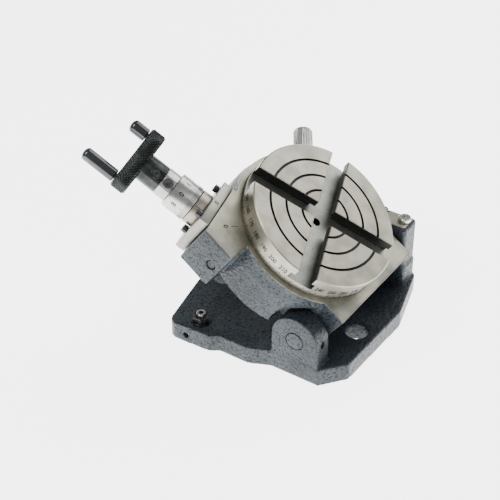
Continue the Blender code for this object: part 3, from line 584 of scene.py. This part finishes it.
# %% Turn the disc
GROOVE_RADII = [share * table_radius for share in (0.33, 0.55, 0.77)]
GROOVE_HALF, GROOVE_DEPTH = 0.85 * MM, 1.3 * MM
BORE_RADIUS, BORE_CHAMFER = 2.75 * MM, 0.5 * MM
RIM_CHAMFER, RIM_FOOT_CHAMFER = 0.6 * MM, 0.4 * MM
disc_outline = [(BORE_RADIUS, table_low), (BORE_RADIUS, table_high - BORE_CHAMFER)]
disc_outline += [(BORE_RADIUS + BORE_CHAMFER, table_high)]
for groove in GROOVE_RADII:
    floor_half, floor = 0.6 * GROOVE_HALF, table_high - GROOVE_DEPTH
    disc_outline += [(groove - GROOVE_HALF, table_high), (groove - floor_half, floor)]
    disc_outline += [(groove + floor_half, floor), (groove + GROOVE_HALF, table_high)]
disc_outline += [(table_radius - RIM_CHAMFER, table_high), (table_radius, table_high - RIM_CHAMFER)]
disc_outline += [(table_radius, table_low + RIM_FOOT_CHAMFER), (table_radius - RIM_FOOT_CHAMFER, table_low)]
table_mesh = lathe("table_top", disc_outline, sides=240)
print("disc:", len(table_mesh.polygons), "faces")

# %% [markdown]
# ## Cutting the T-slots
# The first slot's direction comes from the frame: the opening that a T-nut slides in lies on it. The cutter
# is an extruded T that runs right across, so two of them a quarter turn apart cut the cross of four slots.

# %% Slot cutters and the cut
slot_low, slot_high = (Vector(corner) for corner in openings["t_slot_1_outer"]["box_m"])
slot_spot = table_place.inverted() @ ((slot_low + slot_high) / 2)
slot_angle = Vector((1, 0)).angle_signed(Vector((slot_spot.x, -slot_spot.y)))
MOUTH_HALF, WIDE_HALF = 6 * MM, 8.5 * MM
MOUTH_DEPTH, SLOT_DEPTH, SLOT_CHAMFER = 5.5 * MM, 10.5 * MM, 0.5 * MM


def prism(name, section, half_length):
    """A closed section of (y, z) points run along X."""
    work = bmesh.new()
    ends = [[work.verts.new((x, y, z)) for y, z in section] for x in (-half_length, half_length)]
    work.faces.new(ends[0])
    work.faces.new(list(reversed(ends[1])))
    for index in range(len(section)):
        after = (index + 1) % len(section)
        work.faces.new([ends[0][index], ends[1][index], ends[1][after], ends[0][after]])
    return from_bmesh(name, work)


def carve(target, cutters):
    """The target mesh with the cutter meshes taken away, in shared local axes."""
    body = linked("carving", target)
    tools = []
    for mesh, place in cutters:
        tool = linked("tool", mesh)
        tool.matrix_world = place
        cut = body.modifiers.new("cut", "BOOLEAN")
        cut.operation, cut.solver, cut.object = "DIFFERENCE", "EXACT", tool
        tools.append(tool)
    return applied(body, *tools)


t_section = [(-WIDE_HALF, -SLOT_DEPTH), (WIDE_HALF, -SLOT_DEPTH), (WIDE_HALF, -MOUTH_DEPTH)]
t_section += [(MOUTH_HALF, -MOUTH_DEPTH), (MOUTH_HALF, -SLOT_CHAMFER)]
t_section += [(MOUTH_HALF + 2 * SLOT_CHAMFER, SLOT_CHAMFER)]
t_section += [(-y, z) for y, z in reversed(t_section[3:])] + [(-WIDE_HALF, -MOUTH_DEPTH)]
t_cutter = prism("t_cutter", t_section, 1.2 * table_radius)
turns = [Matrix.Rotation(slot_angle + quarter * pi / 2, 4, "Z") for quarter in range(2)]
table_mesh = carve(table_mesh, [(t_cutter, turn) for turn in turns])
print(f"slots at {slot_angle * 180 / pi:.1f} degrees; table now", len(table_mesh.polygons), "faces")

# %% [markdown]
# ## Two finishes on one table
# Faces below the top belong to the grooves, the bore and the slots. Their walls take a near-black colour that
# is painted shade, standing in for the shade that falls into these recesses, while the slot floor keeps a
# paler steel; the rest is faced steel.
# Choosing the material by where a face lies is safer than painting, because the cut made many odd-shaped
# faces.

# %% Finish the table
make_piece("table_top", table_mesh, table_place, "table", table_steel, ["table"])
table_mesh.materials.append(slot_painted_shade)
table_mesh.materials.append(floor_steel)
NEAR = 0.1 * MM  # a face this close to a level or a radius counts as lying on it
groove_end, slot_end = table_high - GROOVE_DEPTH - 0.2 * MM, table_high - SLOT_DEPTH - 0.2 * MM
slot_faces = 0
for face in table_mesh.polygons:
    centre = face.center
    out = hypot(centre.x, centre.y)
    inside = out < 0.995 * table_radius or abs(face.normal.z) > 0.9
    sunk = groove_end > centre.z > slot_end
    in_bore = out < BORE_RADIUS + NEAR
    in_groove = table_high - 0.3 * MM > centre.z > groove_end and out < 0.9 * table_radius
    if (inside and sunk) or in_bore or in_groove:
        on_floor = abs(centre.z - table_high + SLOT_DEPTH) < NEAR
        # Index 1 is the painted shade on the recess walls; index 2 is the slot floor's steel.
        face.material_index = 2 if on_floor else 1
        slot_faces += 1
print("dark slot faces:", slot_faces)

# %% [markdown]
# ## Scales round a rim
# The rim carries a tick for each degree and a number each ten, filled with black. They are modelled as thin
# inlays bent round the rim, so that they stay sharp in any view. A flat mark is described by its place
# along the rim and up it, and one function bends it.


# %% Bend flat marks round a cylinder
INLAY_OUT, INLAY_IN = 0.08 * MM, 0.12 * MM  # how far an inlay stands out of its surface and reaches in
STROKE = 0.018  # how much heavier a figure's stroke is made, as a share of its height
NARROW = 0.82  # stamped figures are narrower than the built-in typeface


def bent(point, radius):
    """A flat point (along, up, out) laid on a cylinder round Z."""
    along, up, out = point
    return ((radius + out) * cos(along / radius), (radius + out) * sin(along / radius), up)


def add_tick(work, along, low, high, width, radius):
    """A thin upright bar on the cylinder."""
    corners = {}
    for side in (-1, 1):
        for up in (low, high):
            for out in (-INLAY_IN, INLAY_OUT):
                corners[side, up, out] = work.verts.new(bent((along + side * width / 2, up, out), radius))
    loops = [[(s, low, -INLAY_IN), (s, high, -INLAY_IN), (s, high, INLAY_OUT), (s, low, INLAY_OUT)]
             for s in (-1, 1)]
    loops += [[(-1, u, -INLAY_IN), (1, u, -INLAY_IN), (1, u, INLAY_OUT), (-1, u, INLAY_OUT)]
              for u in (low, high)]
    loops += [[(-1, low, o), (1, low, o), (1, high, o), (-1, high, o)] for o in (-INLAY_IN, INLAY_OUT)]
    for loop in loops:
        work.faces.new([corners[key] for key in loop])


def number_mesh(text, height):
    """A figure as a thin solid, centred, with its text upright along Y."""
    curve = bpy.data.curves.new("figure", "FONT")
    curve.body, curve.size = text, height
    curve.align_x, curve.align_y = "CENTER", "CENTER"
    curve.extrude, curve.resolution_u = (INLAY_OUT + INLAY_IN) / 2, 4
    curve.offset = STROKE * height
    return applied(linked("figure", curve))


def add_number(work, text, height, along, up, radius):
    """A figure bent onto the cylinder."""
    flat = number_mesh(text, height)
    middle = (INLAY_OUT - INLAY_IN) / 2
    points = []
    for vertex in flat.vertices:
        x, y, out = vertex.co
        points.append(work.verts.new(bent((along + NARROW * x, up + y, middle + out), radius)))
    for face in flat.polygons:
        work.faces.new([points[index] for index in face.vertices])
    bpy.data.meshes.remove(flat)


def make_marks(name, work, place, body):
    """The marks drawn into a bmesh, as one black piece."""
    return make_piece(name, from_bmesh(name, work), place, body, engraved_black)


print("scale helpers ready")

# %% [markdown]
# ## The degree scale
# The slots stand at 45 degrees to the scale's zero, which fixes every mark. The ticks start at the rim's
# lower edge, longer at five and ten degrees. Figures that a slot would cut away are left out.

# %% Degree scale on the rim
SCALE_START = slot_angle + pi / 4
TICK_HEIGHTS = {10: 4.2 * MM, 5: 3.4 * MM, 1: 2.6 * MM}
FIGURE_HEIGHT, FIGURE_MIDDLE = 4.6 * MM, 7.6 * MM
TICK_FOOT, TICK_WIDTH = 0.45 * MM, 0.38 * MM
scale_work = bmesh.new()
for degree in range(360):
    reach = TICK_HEIGHTS[10 if degree % 10 == 0 else 5 if degree % 5 == 0 else 1]
    along = (SCALE_START + radians(degree)) * table_radius
    add_tick(scale_work, along, table_low + TICK_FOOT, table_low + reach, TICK_WIDTH, table_radius)
    beside_slot = abs(degree % 90 - 45) < 10
    if degree % 10 == 0 and not beside_slot:
        add_number(scale_work, str(degree), FIGURE_HEIGHT, along, table_low + FIGURE_MIDDLE, table_radius)
degree_scale = make_marks("degree_scale", scale_work, table_place, "table")
print("degree scale:", len(degree_scale.data.polygons), "faces")

# %% [markdown]
# ## Castings
# The castings have soft edges everywhere, which a mould needs, and their shape is a long list of lumps and
# cuts. The frame's own solids already hold that shape with sharp edges. A voxel remesh turns such a solid
# into an even skin, and a few rounds of smoothing soften the edges as a mould does. Flat faces stay put.


# %% Soft casting from a solid
def soft_casting(name, node, place, voxel, rounds):
    """An even skin over a part's solid in the given axes, with its edges softened."""
    mesh = frame["nodes"][node].data.copy()
    mesh.transform(place.inverted())
    holder = linked(name, mesh)
    weld = holder.modifiers.new("weld", "WELD")
    weld.merge_threshold = 1e-6
    skin = holder.modifiers.new("skin", "REMESH")
    skin.mode, skin.voxel_size, skin.adaptivity = "VOXEL", voxel, 0.0
    ease = holder.modifiers.new("ease", "SMOOTH")
    ease.factor, ease.iterations = 0.5, rounds
    made = applied(holder)
    print(f"{name}: {len(made.polygons)} faces")
    return made


VOXEL = 0.55 * MM
housing_mesh = soft_casting("housing_casting", "housing", table_place, VOXEL, 3)
make_piece("housing_casting", housing_mesh, table_place, "housing", housing_paint, ["housing"])
base_mesh = soft_casting("base_casting", "base", upright_place, VOXEL, 4)
make_piece("base_casting", base_mesh, upright_place, "base", base_paint, ["base"])

# %% [markdown]
# ## Small parts from the frame
# Screws, nuts and rings already have sockets and flats in the frame. They only need welded points, a fine
# chamfer, smooth shading up to their sharp edges and their finish, so a copy in the right axes is enough.


# %% Dressed copies of small parts
CHAMFER = 0.12 * MM


def dressed(node, place, slot_name, finish):
    """A welded copy of a part, with a fine chamfer on its sharp edges."""
    mesh = frame["nodes"][node].data.copy()
    mesh.transform(place.inverted())
    work = bmesh.new()
    work.from_mesh(mesh)
    bmesh.ops.remove_doubles(work, verts=work.verts, dist=1e-6)
    bmesh.ops.dissolve_limit(work, angle_limit=radians(1), verts=work.verts, edges=work.edges)
    body = frame["nodes"][node]["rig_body"]
    made = make_piece(node + "_dressed", from_bmesh(node, work), place, body, finish, [node])
    bevel = made.modifiers.new("chamfer", "BEVEL")
    bevel.width, bevel.segments = CHAMFER, 2
    bevel.limit_method, bevel.angle_limit = "ANGLE", radians(40)
    return made


small_parts = 0
for node in sorted(frame["nodes"]):
    place = worm_place if node.startswith(("flange", "crank", "dial")) else table_place
    if node.startswith(("stop", "tilt", "pin", "hinge", "far")):
        place = upright_place
    finish = None
    if "screw" in node:
        finish = ("black_oxide", black_oxide)
    if node in ("tilt_clamp_screw", "stop_screw", "hinge_oiler", "dial_clamp_ring"):
        finish = ("bright_steel", bright_steel)
    if node in ("stop_nut", "stop_washer", "spindle_nut", "oil_plug"):
        finish = ("black_oxide", black_oxide)
    if node == "worm_flange":
        finish = ("table_steel", flange_steel)
    if node == "crank_arm":
        finish = ("dark_steel", crank_black)
    if finish:
        dressed(node, place, *finish)
        small_parts += 1
print("dressed copies:", small_parts)

# %% [markdown]
# ## Carried-over parts
# The gears, bushes and shafts inside are hardly seen, but they show when the crank end or the underside is in
# view. They keep the frame's own mesh and only take a finish.

# %% Finishes for the inner parts
INNER = {"worm_wheel": bronze, "worm_end_bush": bronze, "lock_pad": bronze}
for node, part in frame["nodes"].items():
    if part.hide_render:
        continue
    part.data.materials.clear()
    part.data.materials.append(INNER.get(node, bright_steel))
print("inner parts finished")

# %% [markdown]
# ## The hinge pin's end
# The near hinge pin ends in the lug and was painted with it. Its rounded edge leaves a thin dark ring, which
# is what makes it readable as a separate pin.

# %% Near hinge pin
pin_low, pin_high, pin_radius = span("near_hinge_pin", hinge_place)
pin_outline = eased([(0, pin_low), (pin_radius, pin_low), (pin_radius, pin_high), (0, pin_high)], 0.8 * MM)
pin_mesh = lathe("near_pin", pin_outline, sides=96)
NEVER_MILLED = 1.0  # a level in metres far above the pin, so that all of it is paint
pin_paint = casting("pin_paint", NEVER_MILLED, BLUE_GREY, dimple_depth=5e-5)
make_piece("near_pin", pin_mesh, hinge_place, "base", pin_paint, ["near_hinge_pin"])
print(f"pin radius {pin_radius / MM:.2f} mm")

# %% [markdown]
# ## Index collar and dial
# The collar is fixed to the flange and carries the index line. The dial turns against it. Both are turned
# rings with small rounded edges.

# %% Collar and dial
SHAFT_CLEAR = 5.3 * MM


def turned_ring(name, node, rounding, body, finish):
    """A ring on the worm's line; returns its lowest height, highest height and radius."""
    low, high, radius = span(node, worm_place)
    corners = [(SHAFT_CLEAR, low), (radius, low), (radius, high), (SHAFT_CLEAR, high)]
    mesh = lathe(name, eased(corners, rounding))
    make_piece(name, mesh, worm_place, body, finish, [node])
    return low, high, radius


collar_low, collar_high, collar_radius = turned_ring(
    "collar_turned", "index_collar", 0.3 * MM, "housing", collar_steel)
dial_low, dial_high, dial_radius = turned_ring(
    "dial_turned", "dial", 0.7 * MM, "dial", bright_steel)
print(f"dial: radius {dial_radius / MM:.1f} mm, length {(dial_high - dial_low) / MM:.1f} mm")

# %% [markdown]
# ## The dial's figures
# One turn of the crank moves the table nine degrees. So nine figures go round the dial, and each degree is
# split into six steps of ten minutes, with the ticks on the collar's side. The figure 0 leans from the
# upper face to the side that is easy to read, and the collar's index line is cut at the same angle.

# %% Dial scale and index line
DIAL_FIGURES, DIVISIONS = 9, 6
ZERO_LEAN = radians(38)
DIAL_TICK_FOOT, DIAL_TICK_WIDTH = 0.7 * MM, 0.32 * MM
LONG_TICK, SHORT_TICK = 5.6 * MM, 3.6 * MM
DIAL_FIGURE_HEIGHT, DIAL_FIGURE_MIDDLE = 4.8 * MM, 9.6 * MM
zero_angle = -pi / 2 - ZERO_LEAN
dial_work = bmesh.new()
count = DIAL_FIGURES * DIVISIONS
for mark in range(count):
    along = (zero_angle + 2 * pi * mark / count) * dial_radius
    high = LONG_TICK if mark % DIVISIONS == 0 else SHORT_TICK
    add_tick(dial_work, along, dial_low + DIAL_TICK_FOOT, dial_low + high, DIAL_TICK_WIDTH, dial_radius)
    if mark % DIVISIONS == 0:
        text = str(mark // DIVISIONS)
        add_number(dial_work, text, DIAL_FIGURE_HEIGHT, along, dial_low + DIAL_FIGURE_MIDDLE, dial_radius)
make_marks("dial_scale", dial_work, worm_place, "dial")
index_work = bmesh.new()
add_tick(index_work, zero_angle * collar_radius, collar_low + 0.6 * MM, collar_high - 0.4 * MM, 0.3 * MM,
         collar_radius)
make_marks("collar_index", index_work, worm_place, "housing")
print("dial marks:", count)

# %% [markdown]
# ## Knurl on the crank arm
# The arm's edge has a diamond knurl for the fingers. Each diamond is a small pyramid about two millimetres
# across. A strip of points runs round the arm, and two sets of crossing ridges give each point its height:
# that is real geometry, so the outline of the arm is toothed too.


# %% Knurled band round the arm
BAND_BACK = 0.4 * MM  # how far the band's smooth inner side lies inside the arm


def stadium(length, width, count):
    """Evenly spaced (point, outward direction) pairs round a bar with round ends."""
    straight, radius = length - width, width / 2
    total = 2 * straight + 2 * pi * radius
    made = []
    for index in range(count):
        run = total * index / count
        if run < straight:
            made.append(((run - straight / 2, -radius), (0, -1)))
        elif run < straight + pi * radius:
            angle = (run - straight) / radius - pi / 2
            across, forth = cos(angle), sin(angle)
            made.append(((straight / 2 + radius * across, radius * forth), (across, forth)))
        elif run < 2 * straight + pi * radius:
            made.append(((straight / 2 - (run - straight - pi * radius), radius), (0, 1)))
        else:
            angle = (run - 2 * straight - pi * radius) / radius + pi / 2
            across, forth = cos(angle), sin(angle)
            made.append(((-straight / 2 + radius * across, radius * forth), (across, forth)))
    return made, total


def ridge(value):
    """0 at whole numbers and 1 half way between."""
    return 2 * abs(value - round(value))


def knurled_band(name, length, width, low, high, pitch, depth, per_diamond=6):
    """A closed band whose outer side is cut into diamonds."""
    _, total = stadium(length, width, 4)
    diamonds = round(total / pitch)
    points, _ = stadium(length, width, diamonds * per_diamond)
    rows = ceil((high - low) / (pitch / per_diamond))
    work = bmesh.new()
    rings = []
    for row in range(rows + 1):
        height = low + (high - low) * row / rows
        ring = []
        for index, ((x, y), (across, forth)) in enumerate(points):
            u, v = index / per_diamond, (height - low) / pitch
            rise = depth * min(ridge(u + v), ridge(u - v)) if 0 < row < rows else 0.0
            ring.append(work.verts.new((x + across * rise, y + forth * rise, height)))
        rings.append(ring)
    for height in (high, low):
        inner = [(x - BAND_BACK * a, y - BAND_BACK * f) for (x, y), (a, f) in points]
        rings.append([work.verts.new((x, y, height)) for x, y in inner])
    join_rings(work, rings, closed=True)
    return from_bmesh(name, work)


_, arm_high, arm_reach = span("crank_arm", worm_place)
BAR_THICKNESS, BAR_WIDTH, BAR_EDGE = 10 * MM, 16 * MM, 0.7 * MM
BAR_ANGLE, KNURL_PITCH, KNURL_DEPTH = radians(-33), 2.1 * MM, 0.8 * MM
bar_turn = Matrix.Rotation(BAR_ANGLE, 4, "Z")
knurl_mesh = knurled_band("crank_knurl", 2 * arm_reach, BAR_WIDTH, arm_high - BAR_THICKNESS + BAR_EDGE,
                          arm_high - BAR_EDGE, KNURL_PITCH, KNURL_DEPTH)
make_piece("crank_knurl", knurl_mesh, worm_place @ bar_turn, "worm", crank_black)
print(f"arm length {2 * arm_reach / MM:.1f} mm, knurl faces {len(knurl_mesh.polygons)}")

# %% [markdown]
# ## Grips
# Two turned grips stand on the arm, a long one and a short one. They are polished dark steel with a domed end
# and a small neck where they meet the arm.


# %% Long and short grip
DOME_STEPS = 8


def make_grip(node):
    """A turned grip on the arm, centred on the points of the part that it stands for."""
    inverse = worm_place.inverted()
    points = [inverse @ vertex.co for vertex in frame["nodes"][node].data.vertices]
    middle = Vector((sum(p.x for p in points), sum(p.y for p in points), 0)) / len(points)
    place = worm_place @ Matrix.Translation(middle)
    low, high, radius = span(node, place)
    foot = arm_high + 0.3 * MM
    neck, dome = 0.88 * radius, 0.6 * radius
    outline = [(0, low), (0.5 * radius, low), (0.5 * radius, foot), (neck, foot), (neck, foot + 0.3 * MM)]
    outline += [(radius, foot + 0.8 * MM), (radius, high - dome)]
    for step in range(1, DOME_STEPS + 1):
        angle = step / DOME_STEPS * pi / 2
        outline.append((radius * cos(angle) if step < DOME_STEPS else 0, high - dome + dome * sin(angle)))
    mesh = lathe(node + "_turned", outline, sides=64)
    make_piece(node + "_turned", mesh, place, "worm", grip_steel, [node])
    print(f"{node}: {(high - foot) / MM:.1f} mm above the arm")


for grip in ("long_handle", "short_handle"):
    make_grip(grip)

# %% [markdown]
# ## Lock knob
# The knob that locks the table is a small cylinder with straight flutes and a domed end. The flutes come from
# the lathe's radius changing with the angle.

# %% Fluted knob
knob_low, knob_high, knob_radius = span("lock_knob", lock_place)
KNOB_LENGTH, STUD_RADIUS = 17 * MM, 3 * MM
FLUTES, FLUTE_DEPTH, FLUTE_FOOT, FLUTE_END = 24, 0.35 * MM, 1.2 * MM, 2.2 * MM
knob_start = knob_high - KNOB_LENGTH


def fluted(radius, height, angle):
    """The radius, dipped at each flute along the knob's grip."""
    grip = knob_start + FLUTE_FOOT < height < knob_high - FLUTE_END
    return radius - FLUTE_DEPTH * (0.5 + 0.5 * cos(FLUTES * angle)) if grip else radius


knob_outline = [(0, knob_low), (STUD_RADIUS, knob_low), (STUD_RADIUS, knob_start)]
knob_outline += [(knob_radius - 0.5 * MM, knob_start), (knob_radius, knob_start + 0.5 * MM)]
knob_outline += [(knob_radius, knob_start + 1.15 * MM)]
knob_outline += [(knob_radius, knob_start + 1.3 * MM), (knob_radius, knob_high - 2.3 * MM)]
knob_outline += [(knob_radius, knob_high - 2.1 * MM), (0.93 * knob_radius, knob_high - 1.1 * MM)]
knob_outline += [(0.75 * knob_radius, knob_high - 0.45 * MM), (0.4 * knob_radius, knob_high - 0.1 * MM)]
knob_outline += [(0, knob_high)]
knob_mesh = lathe("fluted_knob", knob_outline, sides=FLUTES * 8, shape=fluted)
make_piece("fluted_knob", knob_mesh, lock_place, "lock_knob", bright_steel, ["lock_knob"])
print(f"knob radius {knob_radius / MM:.1f} mm with {FLUTES} flutes")

# %% [markdown]
# ## Marks on flat faces
# The housing has an index line and a 0 beside the table, and the flange has a 0 on its upper face. These are
# the same thin inlays as on the scales, laid flat.


# %% Flat line and figure
BOX_FACES = [(0, 1, 3, 2), (4, 6, 7, 5), (0, 4, 5, 1), (2, 3, 7, 6), (0, 2, 6, 4), (1, 5, 7, 3)]
LINE_WIDTH, MARK_FIGURE_HEIGHT = 0.3 * MM, 4.2 * MM
INDEX_ANGLE = radians(-123)  # where on the housing, round the table, its index line lies


def add_flat(work, place, points, faces):
    """Points placed by a matrix, joined by faces of point numbers."""
    made = [work.verts.new(place @ Vector(point)) for point in points]
    for face in faces:
        work.faces.new([made[index] for index in face])


def flat_box(work, place, length, width):
    """A thin bar lying along local X with its top just proud of the face."""
    corners = [(x, y, z) for x in (-length / 2, length / 2) for y in (-width / 2, width / 2)
               for z in (-INLAY_IN, INLAY_OUT)]
    add_flat(work, place, corners, BOX_FACES)


def flat_figure(work, place, text, height):
    """A figure lying flat with its top just proud of the face."""
    flat = number_mesh(text, height)
    lift = Vector((0, 0, (INLAY_OUT - INLAY_IN) / 2))
    points = [vertex.co + lift for vertex in flat.vertices]
    add_flat(work, place, points, [tuple(face.vertices) for face in flat.polygons])
    bpy.data.meshes.remove(flat)


mark_work = bmesh.new()
outwards = Matrix.Translation((0, 0, housing_top)) @ Matrix.Rotation(INDEX_ANGLE, 4, "Z")
line_place = outwards @ Matrix.Translation((1.13 * table_radius, 0, 0))
flat_box(mark_work, line_place, 0.1 * table_radius, LINE_WIDTH)
figure_place = outwards @ Matrix.Translation((1.26 * table_radius, 0, 0)) @ Matrix.Rotation(pi / 2, 4, "Z")
flat_figure(mark_work, figure_place, "0", MARK_FIGURE_HEIGHT)
make_marks("housing_index", mark_work, table_place, "housing")
flange_figure_height = span("worm_flange", worm_place)[1] - 3.2 * MM
flange_inverse = worm_place.inverted()
flange_top = min((flange_inverse @ vertex.co).y for vertex in frame["nodes"]["worm_flange"].data.vertices)
top_turn = Matrix(((1, 0, 0, 0), (0, 0, -1, 0), (0, 1, 0, 0), (0, 0, 0, 1)))  # local Z to the upper face
flange_work = bmesh.new()
flange_place = Matrix.Translation((0, flange_top, flange_figure_height)) @ top_turn
flat_figure(flange_work, flange_place, "0", MARK_FIGURE_HEIGHT)
make_marks("flange_figure", flange_work, worm_place, "housing")
print("flat marks made")

# %% [markdown]
# ## Floor and light
# A plain pale floor and large soft lights suit a small shiny object: steel shows whatever surrounds it, so
# the surroundings are bright and even. One of the three lights is weak, which leaves a shaded side.

# %% Floor and light
FLOOR_HALF, FLOOR_GAP = 3.0, 0.05 * MM
FLOOR_GLOW = 4.0  # a lit-from-below sweep table, as small objects are shot on
WORLD_GLOW = 0.45
WHITE = (1.0, 1.0, 1.0, 1.0)
LIGHTS = {  # side of the square light in metres, power in watts, place in metres
    "key": (0.7, 11.0, (-0.35, -0.75, 1.1)),
    "fill": (0.8, 3.0, (1.0, -0.3, 0.7)),
    "back": (0.9, 9.0, (0.2, 0.9, 0.9)),
}


def make_floor():
    """A wide pale floor that glows a little, just under the base."""
    mesh = bpy.data.meshes.new("floor")
    corners = [(x * FLOOR_HALF, y * FLOOR_HALF, 0) for x, y in ((-1, -1), (1, -1), (1, 1), (-1, 1))]
    mesh.from_pydata(corners, [], [(0, 1, 2, 3)])
    floor = linked("floor", mesh)
    floor.location.z = base_low - FLOOR_GAP
    made, tree, shader, coordinates = start_finish("pale_floor", 0.0, 0.85)
    cloud = place_group(tree, smudges, coordinates, 4.0)
    tree.links.new(mix_colours(tree, cloud["Smudge"], (0.95, 0.95, 0.95), (0.93, 0.93, 0.93)),
                   shader.inputs["Base Color"])
    shader.inputs["Emission Color"].default_value = WHITE
    shader.inputs["Emission Strength"].default_value = FLOOR_GLOW
    mesh.materials.append(made)


def make_light(name, size, power, spot, aim):
    """A soft square light at spot that faces aim."""
    lamp = bpy.data.lights.new(name, "AREA")
    lamp.shape, lamp.size, lamp.energy = "SQUARE", size, power
    holder = linked(name, lamp)
    holder.location = spot
    holder.rotation_euler = (Vector(spot) - Vector(aim)).to_track_quat("Z", "Y").to_euler()


make_floor()
middle = (cad_box[0] + cad_box[1]) / 2
for name, (size, power, spot) in LIGHTS.items():
    make_light(name, size, power, spot, middle)
world = bpy.data.worlds.new("studio")
world.use_nodes = True
world.node_tree.nodes["Background"].inputs["Color"].default_value = WHITE
world.node_tree.nodes["Background"].inputs["Strength"].default_value = WORLD_GLOW
bpy.context.scene.world = world
print("floor and", len(LIGHTS), "lights")

# %% [markdown]
# ## Camera
# The camera looks down a long lens from well back, which keeps the perspective mild. Its place follows from
# two angles, a distance and the point it aims at, which lies a little beside and below the table's centre.
# Numbers like these are easier to adjust than a place and three turns.

# %% Camera
AZIMUTH, ELEVATION = radians(33.8), radians(36.1)
DISTANCE, LENS, SENSOR = 800 * MM, 94.4, 36.0
AIM_LEFT, AIM_DOWN = 45.95 * MM, 22.15 * MM  # from the table's centre, as the camera sees them
back = Vector((sin(AZIMUTH) * cos(ELEVATION), -cos(AZIMUTH) * cos(ELEVATION), sin(ELEVATION)))
right = Vector((cos(AZIMUTH), sin(AZIMUTH), 0))
camera_up = back.cross(right)
aim = table_place.translation - AIM_LEFT * right - AIM_DOWN * camera_up
lens = bpy.data.cameras.new("camera")
lens.lens, lens.sensor_width, lens.clip_start = LENS, SENSOR, 0.01
camera = linked("camera", lens)
camera.matrix_world = axes_at(aim + DISTANCE * back, back, right)
bpy.context.scene.camera = camera
print("camera at", [round(v / MM) for v in camera.location], "mm")

# %% [markdown]
# ## The end
# The last cell reports that the script has run to its end.

# %% Finish
print("done")
